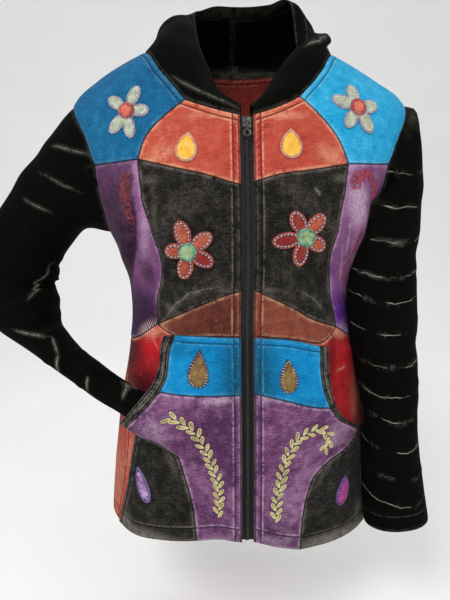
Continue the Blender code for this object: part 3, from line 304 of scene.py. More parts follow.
# Smaller creases of the sleeves, in the same columns as their folds.
SLEEVE_CREASES = {
    RIGHT: (
        (0.09, 40, 0.012, 40, 1.8), (0.17, 300, 0.012, 45, 1.6), (0.27, 150, 0.010, 45, 2.2),
        (0.31, 185, 0.010, 40, -2.0), (0.36, 120, 0.009, 45, 2.4), (0.385, 190, 0.009, 45, 2.2),
        (0.45, 140, 0.009, 45, -2.2), (0.47, 90, 0.009, 40, 1.8), (0.53, 170, 0.008, 50, 2.2),
        (0.585, 120, 0.008, 50, 1.6), (0.63, 60, 0.008, 50, 1.4), (0.68, 150, 0.008, 60, 1.3),
        (0.74, 30, 0.008, 60, 1.0), (0.80, 120, 0.008, 60, 0.9), (0.40, 330, 0.012, 35, 1.8),
        (0.50, 340, 0.012, 35, 1.6),
    ),
    LEFT: (
        (0.12, 40, 0.012, 40, 2.0), (0.19, 90, 0.012, 45, 1.8), (0.22, 290, 0.012, 45, 1.8),
        (0.31, 60, 0.012, 40, -1.8), (0.34, 110, 0.012, 45, 1.6), (0.43, 80, 0.012, 45, 1.6),
        (0.47, 260, 0.012, 45, 1.8), (0.55, 120, 0.012, 40, 1.5), (0.60, 50, 0.012, 40, 1.4),
        (0.71, 90, 0.012, 45, 1.5), (0.78, 300, 0.012, 45, 1.5), (0.85, 60, 0.012, 45, 1.3),
        (0.93, 120, 0.010, 50, 1.2),
    ),
}
# Thin pale dye rings round the hanging sleeve: height in millimetres at its front.
DYE_SLOPE, DYE_FRONT, DYE_PITCH = 0.28, 85 * MM, 40 * MM  # their slope, where its front is, and pitch
DYE_RINGS = (-160, -198, -237, -276, -303, -343, -382, -420, -450, -488, -524, -558)
# Pale dye streaks on each sleeve, in millimetres: the points of a line, then its strength.
STREAKS = {
    RIGHT: (
        ((-228, -46, -120), (-180, -64, -134), 0.5), ((-243, -47, -152), (-199, -56, -174), 0.45),
        ((-266, -40, -182), (-236, -44, -198), 0.45), ((-275, -21, -308), (-244, -5, -266), 0.75),
        ((-296, -27, -347), (-252, -30, -358), 0.7), ((-246, -28, -357), (-237, -38, -378), 0.8),
        ((-237, -38, -380), (-238, -38, -402), 0.9), ((-197, -59, -404), (-198, -57, -422), 0.8),
        ((-146, -78, -408), (-146, -76, -424), 0.8),
    ),
    LEFT: (),
}
# Pale lines on the hood's folds: partly rubbed pale, partly a painted highlight on the fold's edge.
HOOD_WORN_AND_HIGHLIGHT_LINES = {
    RIGHT: (((-80, -80, -50), (-71, -85, -57), (-62, -89, -62), (-51, -93, -68), (-37, -98, -76),
             (-24, -102, -82), (-10, -105, -89), 0.55),),
    LEFT: (((74, -55, -9), (88, -49, -2), (107, -25, 12), 0.9), ((112, -20, 8), (116, -22, -2), 0.9)),
}
# Vines of the pocket: points of the stem from its foot, across and height in millimetres.
VINES = {
    RIGHT: ((-36, -569), (-35, -543), (-36, -519), (-41, -502), (-47, -483), (-54, -467), (-61, -454),
            (-70, -444), (-80, -437), (-88, -438)),
    LEFT: ((32, -574), (34, -543), (39, -516), (46, -492), (56, -473), (71, -463), (84, -461), (95, -474),
           (91, -488)),
}
# Tangles of looped stitches on the side strips, as lines across and down in millimetres, and a chain
# of them beside a seam.
TANGLES = {
    RIGHT: (((-133, -163), (-135, -174), (-134, -184), (-131, -194), (-129, -203), (-128, -210)),
            ((-131, -163), (-132, -176), (-130, -190))),
    LEFT: (((125, -174), (125, -166), (128, -160), (132, -164), (136, -159), (142, -157), (147, -162),
            (151, -167),
            (154, -173), (154, -179), (152, -187)),),
}
SEAM_CHAIN = ((134, -222), (130, -235), (125, -250), (121, -263), (120, -278), (126, -295), (135, -318),
              (137, -334))


def smooth(knots, values, at):
    """Cubic curve through the rows of a table, each slope taken from the neighbouring rows."""
    knots, values, at = (np.asarray(a, float) for a in (knots, values, at))
    slopes = np.gradient(values, knots, axis=0)
    row = np.clip(np.searchsorted(knots, at, side="right") - 1, 0, len(knots) - 2)
    span = knots[row + 1] - knots[row]
    t = (at - knots[row]) / span
    if values.ndim > 1:
        extra = (1,) * (values.ndim - 1)
        t, span = t.reshape(t.shape + extra), span.reshape(span.shape + extra)
    start, end = values[row], values[row + 1]
    rise = (3 * t**2 - 2 * t**3) * (end - start)
    bend = span * ((t**3 - 2 * t**2 + t) * slopes[row] + (t**3 - t**2) * slopes[row + 1])
    return start + rise + bend


def step_between(low, high, value):
    t = np.clip((value - low) / (high - low), 0, 1)
    return t * t * (3 - 2 * t)


def bell(offset, width):
    return np.exp(-((offset / width) ** 2))


def unit(vectors):
    return vectors / np.linalg.norm(vectors, axis=-1, keepdims=True)


def lengths_along(points):
    """Distance from the first point to each point of a line."""
    steps = np.linalg.norm(np.diff(points, axis=0), axis=-1)
    return np.concatenate([[0], np.cumsum(steps)])


def on_line(at, walked, line):
    """Points of a line at some distances along it."""
    return np.stack([np.interp(at, walked, column) for column in line.T], axis=-1)


RINGS = np.array(BODY_RINGS, float) * MM
# How far down the side line each ring is, from the neck point.
RING_LEVELS = lengths_along(RINGS[:, :2])
FINE_LEVELS = np.linspace(0, RING_LEVELS[-1], 600)
FINE_HEIGHTS = smooth(RING_LEVELS, RINGS[:, 0], FINE_LEVELS)


def level_of(height):
    return np.interp(-np.asarray(height, float), -FINE_HEIGHTS, FINE_LEVELS)


def spot(x, height):
    """Surface coordinates (angle from the zip, level) of a point given in the front view."""
    level = level_of(height)
    column = 1 if np.mean(x) < 0 else 2
    half_width = smooth(RING_LEVELS, RINGS[:, column], level)
    return np.stack([np.arcsin(np.clip(x / half_width, -1, 1)), level], axis=-1)


def body_ring(angle, level):
    """Point of the smooth inner face of the body. The angle is 0 at the zip and pi at the centre back."""
    height, right, left, front, back, set_back = np.moveaxis(smooth(RING_LEVELS, RINGS, level), -1, 0)
    half_width = np.where(np.sin(angle) < 0, right, left)
    reach = np.cos(angle)
    depth = np.where(reach > 0, front, back) * np.sign(reach) * np.abs(reach) ** BODY_ROUNDNESS
    return np.stack([half_width * np.sin(angle), set_back - depth, height], axis=-1)


def normals_of(surface, angle, level):
    """Outward normals of a surface given by angle and level."""
    turn, reach = 0.012, 2 * MM
    across = surface(angle + turn, level) - surface(angle - turn, level)
    upward = surface(angle, level - reach) - surface(angle, level + reach)
    return unit(np.cross(across, upward))


def lie(surface, spots):
    """Points and outward normals of a surface at some spots."""
    return surface(*spots.T), normals_of(surface, *spots.T)


def scatter(points, size, seed):
    """Smooth noise from 0 to 1 with features of that size."""
    table = np.random.default_rng(seed).random((32, 32, 32))
    at = points / size
    cell = np.floor(at).astype(int)
    t = at - cell
    t = t * t * (3 - 2 * t)
    total = np.zeros(points.shape[:-1])
    for corner in range(8):
        step = np.array([corner & 1, corner >> 1 & 1, corner >> 2 & 1])
        weight = np.prod(np.where(step == 1, t, 1 - t), axis=-1)
        place = (cell + step) % 32
        total += weight * table[place[..., 0], place[..., 1], place[..., 2]]
    return total


def fold_height(points, facing):
    """How far the folds and creases lift each point of the body."""
    lift = np.zeros(points.shape[:-1])
    for row in FOLDS + CREASES:
        across, height, half_length, half_width, depth, lean, face = row
        lean = math.radians(lean)
        dx = points[..., 0] - across * MM
        dz = points[..., 2] - height * MM
        along = (dx * math.sin(lean) + dz * math.cos(lean)) / (half_length * MM)
        beside = (dx * math.cos(lean) - dz * math.sin(lean)) / (half_width * MM)
        share = step_between(*FOLD_TURN, facing * face)
        lift += depth * MM * np.exp(-beside**2 - along**4) * share
    # The strip along the zip stays straight.
    return lift * step_between(ZIP_STRAIGHT, ZIP_FOLDED, np.abs(points[..., 0]) + FAR * (facing < 0))


def body_cloth(angle, level):
    """Point of the inner face of the body's cloth, with its folds."""
    points = body_ring(angle, level)
    normals = normals_of(body_ring, angle, level)
    return points + normals * fold_height(points, np.cos(angle))[..., None]


def mouth_lift(points):
    """How far the pocket stands off the front to make room for a hand."""
    lift = np.zeros(points.shape[:-1])
    for side in (RIGHT, LEFT):
        top, bottom = np.array(MOUTH_TOP[side]) * MM, np.array(MOUTH_BOTTOM[side]) * MM
        middle, half = (top + bottom) / 2, (bottom - top) / 2
        length = np.linalg.norm(half)
        along = half / length
        inward = np.array([along[1], -along[0]])
        offset = np.stack([side * points[..., 0], points[..., 2]], axis=-1) - middle
        down_mouth = np.clip((offset @ along) / length, -1, 1)
        depth = np.maximum(offset @ inward, 0) / MOUTH_REACH
        share = (1 - down_mouth**6) * np.exp(-depth**2)
        share = share * step_between(BULGE_FROM, BULGE_FULL, side * points[..., 0])
        lift += MOUTH_BULGE[side] * share
    return lift * step_between(BULGE_FLOOR, BULGE_CLEAR, points[..., 2])


def pocket_cloth(angle, level):
    """Point of the inner face of the pocket."""
    points = body_cloth(angle, level)
    normals = normals_of(body_ring, angle, level)
    lift = CLOTH + POCKET_GAP + mouth_lift(points)
    return points + normals * lift[..., None]


def seam_line(spots):
    """Points along a smooth line through spots, evenly spaced on the body."""
    knots = lengths_along(spots * (FLAT_RADIUS, 1))
    fine = smooth(knots, spots, np.linspace(0, knots[-1], 120))
    walked = lengths_along(body_ring(*fine.T))
    count = max(2, round(walked[-1] / SEAM_STEP) + 1)
    return on_line(np.linspace(0, walked[-1], count), walked, fine)


def side_seams(side, table):
    """The seams of one side as lines of spots, by name."""
    lines, columns = {}, slice(0, 2) if side == RIGHT else slice(2, 4)
    for name, rows in table.items():
        across, height = np.array(rows, float)[:, columns].T
        lines[name] = seam_line(spot(side * across * MM, height * MM))
    return lines


def back_line(side, rows):
    angles, heights = np.array(rows, float).T
    return seam_line(np.stack([side * np.radians(angles), level_of(heights * MM)], axis=-1))


def zip_edge(side, top, bottom, across=ZIP_GROUND):
    """The upright edge of a piece beside the zip."""
    heights = np.linspace(top, bottom, max(2, round((top - bottom) / SEAM_STEP) + 1))
    return spot(np.full(len(heights), side * across), heights)


def height_at(line, end):
    return body_ring(line[end, 0], line[end, 1])[2]


def rev(line):
    """The same line from its other end."""
    return line[::-1]


def outline_of(*lines):
    """One closed outline from lines that follow each other end to end."""
    return np.concatenate([line[:-1] for line in lines])


def sideways(points, normals, closed):
    """Vectors across a line, to its left seen from outside, longer at corners to keep the gap."""
    if closed:
        before, after = np.roll(points, 1, axis=0), np.roll(points, -1, axis=0)
    else:
        before = np.concatenate([2 * points[:1] - points[1:2], points[:-1]])
        after = np.concatenate([points[1:], 2 * points[-1:] - points[-2:-1]])
    first = unit(np.cross(normals, points - before))
    second = unit(np.cross(normals, after - points))
    together = np.maximum(1 + np.sum(first * second, axis=-1, keepdims=True), 0.45)
    return (first + second) / together


def grid_faces(rows, columns, closed):
    """Quads of a grid of points, row by row. A closed grid joins its last column to its first."""
    faces = []
    for i in range(rows - 1):
        for j in range(columns if closed else columns - 1):
            k = (j + 1) % columns
            faces.append((i * columns + j, i * columns + k, (i + 1) * columns + k, (i + 1) * columns + j))
    return faces


def shell_faces(faces, total, border):
    """Faces of a wall: the outer ones, the same turned over inside, and a strip along its border."""
    turned = [tuple(i + total for i in reversed(face)) for face in faces]
    return faces + turned + [(a, a + total, b + total, b) for a, b in border]


def grid_normals(points, closed):
    """Normals of a grid of points, from its neighbours."""
    if closed:
        around = np.roll(points, -1, axis=1) - np.roll(points, 1, axis=1)
    else:
        around = np.gradient(points, axis=1)
    return unit(np.cross(around, np.gradient(points, axis=0)))


def turns_right(outline):
    """Whether a closed flat outline runs clockwise."""
    after = np.roll(outline, -1, axis=0)
    return np.sum(outline[:, 0] * after[:, 1] - after[:, 0] * outline[:, 1]) < 0


def push_clear(points, gap):
    """Moves a sleeve's points that are too near the body out to a gap from the cloth under them."""
    level = level_of(points[..., 2])
    ring = smooth(RING_LEVELS, RINGS, level)
    half_width = np.where(points[..., 0] < 0, ring[..., 1], ring[..., 2])
    back = points[..., 1] > ring[..., 5]
    depth = np.where(back, ring[..., 4], ring[..., 3])
    x, y = np.abs(points[..., 0]), np.abs(points[..., 1] - ring[..., 5])
    middle = np.stack([np.zeros_like(x), ring[..., 5], points[..., 2]], axis=-1)
    room = np.zeros_like(x)
    for _ in range(2):
        # How many times farther out from the middle the cloth's face is, by halving.
        low, high = np.zeros_like(x), np.full_like(x, 50.0)
        for _ in range(40):
            grow = (low + high) / 2
            reach = (grow * x / (half_width + room)) ** 2
            outside = reach + (grow * y / (depth + room)) ** (2 / BODY_ROUNDNESS) > 1
            low, high = np.where(outside, low, grow), np.where(outside, grow, high)
        under = middle + (points - middle) * high[..., None]
        facing = np.where(back, -1, 1) * (y * high / depth) ** (1 / BODY_ROUNDNESS)
        cloth = CLOTH + np.maximum(fold_height(under, facing), 0)
        pocket = (CLOTH + POCKET_GAP + mouth_lift(under)) * step_between(0.0, 0.2, facing)
        pocket *= step_between(-POCKET_ROOM_FROM, -POCKET_ROOM_FULL, -under[..., 2])
        room = cloth + pocket + gap + CLOTH
    return middle + (points - middle) * np.maximum(high, 1)[..., None]


def sleeve_surface(side, loop, normals, across):
    """Rings of the sleeve's inner face: first the armhole's points, then a small roll over them."""
    table = np.array(SLEEVES[side], float) * MM
    centres = np.concatenate([loop.mean(axis=0)[None], table[:, :3]])
    stations = lengths_along(centres)
    stations /= stations[-1]
    # Round the armhole: half a turn down its front and half a turn up its back.
    walked = lengths_along(np.concatenate([loop, loop[:1]]))
    foot = int(np.argmin(loop[:, 2]))
    turn = np.interp(walked[:-1], [0, walked[foot], walked[-1]], [0, math.pi, 2 * math.pi])
    tangents = unit(np.gradient(centres, stations, axis=0))
    lifted = step_between(HEAD_FROM, HEAD_FULL, np.minimum(np.degrees(turn), 360 - np.degrees(turn)))[:, None]
    head = loop + across * HEAD_OUT + normals * HEAD_RISE * lifted
    rings = [loop, head]
    for row, centre, tangent in zip(table, centres[1:], tangents[1:]):
        front = np.array([0.0, -1.0, 0.0])
        front = unit(front - tangent * (front @ tangent))
        outer = side * np.cross(front, tangent)
        width, depth = row[3] / 2, row[4] / 2
        reach = np.sign(np.cos(turn)) * np.abs(np.cos(turn)) ** SLEEVE_ROUNDNESS
        rings.append(centre + np.outer(reach * width, outer) + np.outer(np.sin(turn) * depth, front))
    stations = np.insert(stations, 1, HEAD_SHARE)
    at = np.linspace(0, 1, SLEEVE_RINGS[side])
    points = smooth(stations, np.array(rings), at)
    lift = np.zeros(points.shape[:2])
    for along, around, spread_along, spread_around, depth in SLEEVE_FOLDS[side] + SLEEVE_CREASES[side]:
        off = (np.degrees(turn) - around + 180) % 360 - 180
        lift += depth * MM * np.outer(bell(at - along, spread_along), bell(off, spread_around))
    lift *= step_between(0, FOLDS_FULL, at)[:, None]
    points = points + lift[..., None] * side * grid_normals(points, True)
    if side == LEFT:
        share = step_between(HEAD_SHARE, CLEAR_FULL, at)[:, None, None]
        points = points + (push_clear(points, SLEEVE_GAP) - points) * share
    return points


def hood_grid(side, neckline):
    """Grid of the hood's inner face: a row for each neckline point, from the seam to the free edge."""
    points, normals = lie(body_cloth, neckline)
    across = sideways(points, normals, False)
    if np.sum(across[:, 2]) < 0:
        across = -across
    seam = points + across * SEAM_GAP / 2
    around = np.degrees(np.arctan2(np.abs(seam[:, 0]), -seam[:, 1]))
    table = np.array(HOODS[side], float)
    section = smooth(table[:, 0], table[:, 1:] * MM, np.clip(around, table[0, 0], table[-1, 0]))
    direction = np.radians(around)
    rows = []
    for start, values, turn in zip(seam, section, direction):
        radii, heights = values[0::2], values[1::2]
        shape = np.stack([side * radii * math.sin(turn), -radii * math.cos(turn), heights], axis=-1)
        line = np.concatenate([start[None], shape])
        knots = lengths_along(line)
        fine = smooth(knots, line, np.linspace(0, knots[-1], 200))
        walked = lengths_along(fine)
        rows.append(on_line(np.linspace(0, walked[-1], HOOD_STEPS), walked, fine))
    return np.array(rows), normals


def flower_outline(heart, petals, width, step):
    """Points round a flower: the farthest reach of its oval petals in each direction."""
    turns = np.radians(np.arange(0, 360, step))
    radius = np.full(len(turns), heart * 1.12)
    for direction, reach in petals:
        middle, long_half, wide_half = 0.58 * reach, 0.42 * reach, width / 2
        off = turns - math.radians(direction)
        c, s = np.cos(off), np.sin(off)
        a = (c / long_half) ** 2 + (s / wide_half) ** 2
        b = -2 * middle * c / long_half**2
        d = b * b - 4 * a * ((middle / long_half) ** 2 - 1)
        hit = (d > 0) & (c > 0)
        far = np.where(hit, (-b + np.sqrt(np.maximum(d, 0))) / (2 * a), 0)
        radius = np.maximum(radius, far)
    return np.stack([radius * np.cos(turns), radius * np.sin(turns)], axis=-1)


def round_outline(radius, count):
    turns = np.linspace(0, 2 * math.pi, count, endpoint=False)
    return np.stack([radius * np.cos(turns), radius * np.sin(turns)], axis=-1)


def teardrop_outline(width, length, tilt, narrowing, count):
    """Points round a drop with its tip up."""
    turns = np.linspace(0, 2 * math.pi, count, endpoint=False)
    x = np.sin(turns) * np.sin(turns / 2) ** narrowing
    x *= width / 2 / x.max()
    y = length * 0.5 * np.cos(turns)
    c, s = math.cos(math.radians(tilt)), math.sin(math.radians(tilt))
    return np.stack([x * c - y * s, x * s + y * c], axis=-1)


# Dyes of the jerseys, as they look in daylight: deep tone, main tone, pale tone, where it is worn.
DYES = {
    "blue_right": ((8, 64, 98), (18, 90, 132), (42, 120, 158), (104, 156, 178)),
    "blue_left": ((16, 112, 156), (32, 150, 196), (80, 182, 212), (150, 205, 215)),
    "blue_band": ((6, 92, 138), (10, 124, 180), (34, 152, 204), (112, 184, 208)),
    "rust": ((142, 44, 38), (172, 70, 56), (198, 106, 80), (224, 162, 128)),
    "waist": ((88, 42, 32), (126, 66, 50), (156, 92, 70), (196, 146, 116)),
    "charcoal": ((14, 13, 11), (26, 24, 21), (50, 47, 42), (118, 112, 104)),
    "purple": ((70, 38, 70), (98, 58, 94), (132, 92, 126), (182, 156, 178)),
    "strip": ((92, 50, 92), (120, 74, 116), (146, 104, 140), (186, 158, 182)),
    "red": ((112, 14, 20), (160, 28, 34), (190, 58, 48), (226, 166, 132)),
    "black": ((3, 3, 2), (6, 6, 5), (12, 11, 9), (92, 90, 80)),
    "back": ((118, 38, 32), (150, 58, 46), (178, 88, 66), (206, 150, 124)),
}
# Dyes of the felts: deep tone, main tone, pale tone, cut edge, painted shade beside the stitches, and spot
# at the middle.
FELTS = {
    "pale": ((134, 142, 128), (168, 175, 160), (198, 202, 190), (150, 144, 146), (128, 118, 130),
             (150, 160, 128)),
    "coral": ((112, 36, 32), (156, 72, 56), (190, 106, 80), (188, 88, 66), (70, 22, 26), (168, 84, 62)),
    "heart": ((134, 40, 42), (168, 70, 62), (196, 112, 98), (150, 70, 76), (96, 30, 42), (226, 130, 100)),
    "mint": ((58, 108, 88), (118, 160, 134), (160, 190, 158), (84, 140, 112), (36, 84, 64), (150, 150, 80)),
    "yellow": ((210, 148, 50), (230, 178, 74), (242, 200, 112), (206, 150, 120), (190, 114, 66),
               (222, 170, 60)),
    "brown": ((72, 52, 28), (112, 86, 50), (150, 124, 80), (56, 40, 42), (44, 30, 32), (132, 106, 64)),
    "purple_right": ((84, 42, 98), (142, 100, 154), (206, 186, 210), (128, 118, 168), (74, 40, 92),
                     (160, 126, 172)),
    "purple_left": ((104, 26, 92), (146, 52, 120), (178, 98, 150), (88, 70, 134), (70, 24, 84),
                    (156, 56, 122)),
}
THREADS = {
    "rose_white": ((206, 200, 206), (118, 98, 120)),
    "pale_blue": ((190, 206, 214), (130, 156, 176)),
    "lilac": ((196, 184, 196), (96, 66, 98)),
    "plum": ((120, 96, 160), (60, 34, 84)),
    "mint": ((146, 190, 166), (34, 88, 68)),
    "coral": ((206, 96, 66), (150, 54, 44)),
    "pink": ((206, 140, 140), (140, 52, 66)),
    "dark": ((40, 30, 48), (70, 56, 76)),
    "cream": ((216, 206, 142), (166, 154, 96)),
    "navy": ((34, 40, 96), (60, 70, 130)),
    "red": ((142, 44, 58), (84, 24, 40)),
    "rose": ((190, 58, 68), (120, 30, 52)),
    "blue": ((70, 62, 130), (110, 100, 160)),
}
# Two tones of painted shade for the right strip where it folds under the arm, and a wine red dye for darker
# petals.
PAINTED_SHADE_TONES, WINE = ((26, 10, 24), (52, 28, 48)), ((84, 8, 18), (140, 26, 32))
METAL, METAL_RUBBED = (84, 82, 79), (132, 128, 121)
# Black of the teeth, and its pale flecks, which are dust and also painted glints.
PLASTIC, DUST_AND_GLINT = (22, 22, 23), (92, 90, 86)
TAPE, LINT = (7, 7, 8), (64, 62, 60)
FOOT_DASH, STITCH_DARK = (224, 196, 182), (8, 6, 8)


def linear(colour):
    """Values for the shader of a colour given as it shows on a screen, 0 to 255."""
    c = np.array(colour, float) / 255
    return tuple(np.where(c <= 0.04045, c / 12.92, ((c + 0.055) / 1.055) ** 2.4)) + (1.0,)


class Looks:
    """Builds the nodes of one material."""

    def __init__(self, name, roughness, sheen=0.0, metallic=0.0, specular=0.5):
        self.material = bpy.data.materials.new(name)
        self.material.use_nodes = True
        self.tree = self.material.node_tree
        self.place = self.add("ShaderNodeTexCoord").outputs["Object"]
        self.shade({"Roughness": roughness, "Metallic": metallic, "Sheen Weight": sheen,
                    "Sheen Roughness": 0.5, "Specular IOR Level": specular})

    def add(self, kind, **settings):
        node = self.tree.nodes.new(kind)
        for key, value in settings.items():
            setattr(node, key, value)
        return node

    def feed(self, sockets, values):
        for socket, value in zip(sockets, values):
            if isinstance(value, bpy.types.NodeSocket):
                self.tree.links.new(value, socket)
            else:
                socket.default_value = value

    def shade(self, values):
        """Gives the shader's inputs their values or links."""
        inputs = self.tree.nodes["Principled BSDF"].inputs
        self.feed([inputs[key] for key in values], values.values())

    def maths(self, operation, *values):
        node = self.add("ShaderNodeMath", operation=operation)
        self.feed(node.inputs, values)
        return node.outputs[0]

    def times(self, *values):
        return reduce(lambda a, b: self.maths("MULTIPLY", a, b), values)

    def most(self, *values):
        return reduce(lambda a, b: self.maths("MAXIMUM", a, b), values)

    def total(self, *pairs):
        """Sum of values, each with its weight."""
        return reduce(lambda so_far, pair: self.maths("MULTIPLY_ADD", *pair, so_far), pairs, 0.0)

    def spread(self, value, low, high, start=0.0, end=1.0):
        node = self.add("ShaderNodeMapRange", interpolation_type="SMOOTHSTEP")
        self.feed(node.inputs, (value, low, high, start, end))
        return node.outputs[0]

    def wave(self, value):
        return self.maths("SINE", value)

    def mix(self, share, first, second):
        node = self.add("ShaderNodeMix", data_type="RGBA")
        self.feed((node.inputs[0], node.inputs[6], node.inputs[7]), (share, first, second))
        return node.outputs[2]

    def noise(self, scale, detail, roughness, at=None):
        node = self.add("ShaderNodeTexNoise")
        keys = ("Vector", "Scale", "Detail", "Roughness")
        self.feed([node.inputs[key] for key in keys], (at or self.place, scale, detail, roughness))
        return node.outputs["Fac"]

    def stretched(self, at, scales):
        node = self.add("ShaderNodeVectorMath", operation="MULTIPLY")
        self.feed(node.inputs, (at, scales))
        return node.outputs[0]

    def parts(self, vector):
        node = self.add("ShaderNodeSeparateXYZ")
        self.feed(node.inputs, (vector,))
        return node.outputs

    def value(self, attribute, kind="Fac"):
        return self.add("ShaderNodeAttribute", attribute_name=attribute).outputs[kind]

    def finish(self, colour, height=None, roughness=None):
        """Links the colour, a height in millimetres for the bumps, and a roughness that varies."""
        self.shade({"Base Color": colour})
        if roughness is not None:
            self.shade({"Roughness": roughness})
        if height is not None:
            bump = self.add("ShaderNodeBump")
            self.feed([bump.inputs["Distance"], bump.inputs["Height"]], (MM, height))
            self.shade({"Normal": bump.outputs[0]})
        return self.material


WALE, COURSE = 1.15 * MM, 0.95 * MM
STITCH, STITCH_SHOWN = 3.1 * MM, (0.66, 0.72)  # pitch of the seams' stitches, and the share that shows
PUCKER, FACING_CREASE, FOOT_PITCH = 8.5 * MM, 8 * MM, 4.4 * MM
RIDGE_MIDDLE = 2.0 * MM  # past a row of stitches, where the seam's ridge is worn


def knit(g, cloth):
    """Height of the jersey's stitches, in millimetres: wales along the cloth and courses across it."""
    across, along, _ = g.parts(cloth)
    wale = g.wave(g.times(across, math.tau / WALE))
    course = g.wave(g.times(along, math.tau / COURSE))
    return g.times(g.maths("MULTIPLY_ADD", wale, 0.5, 0.5), g.maths("MULTIPLY_ADD", course, 0.3, 0.7))


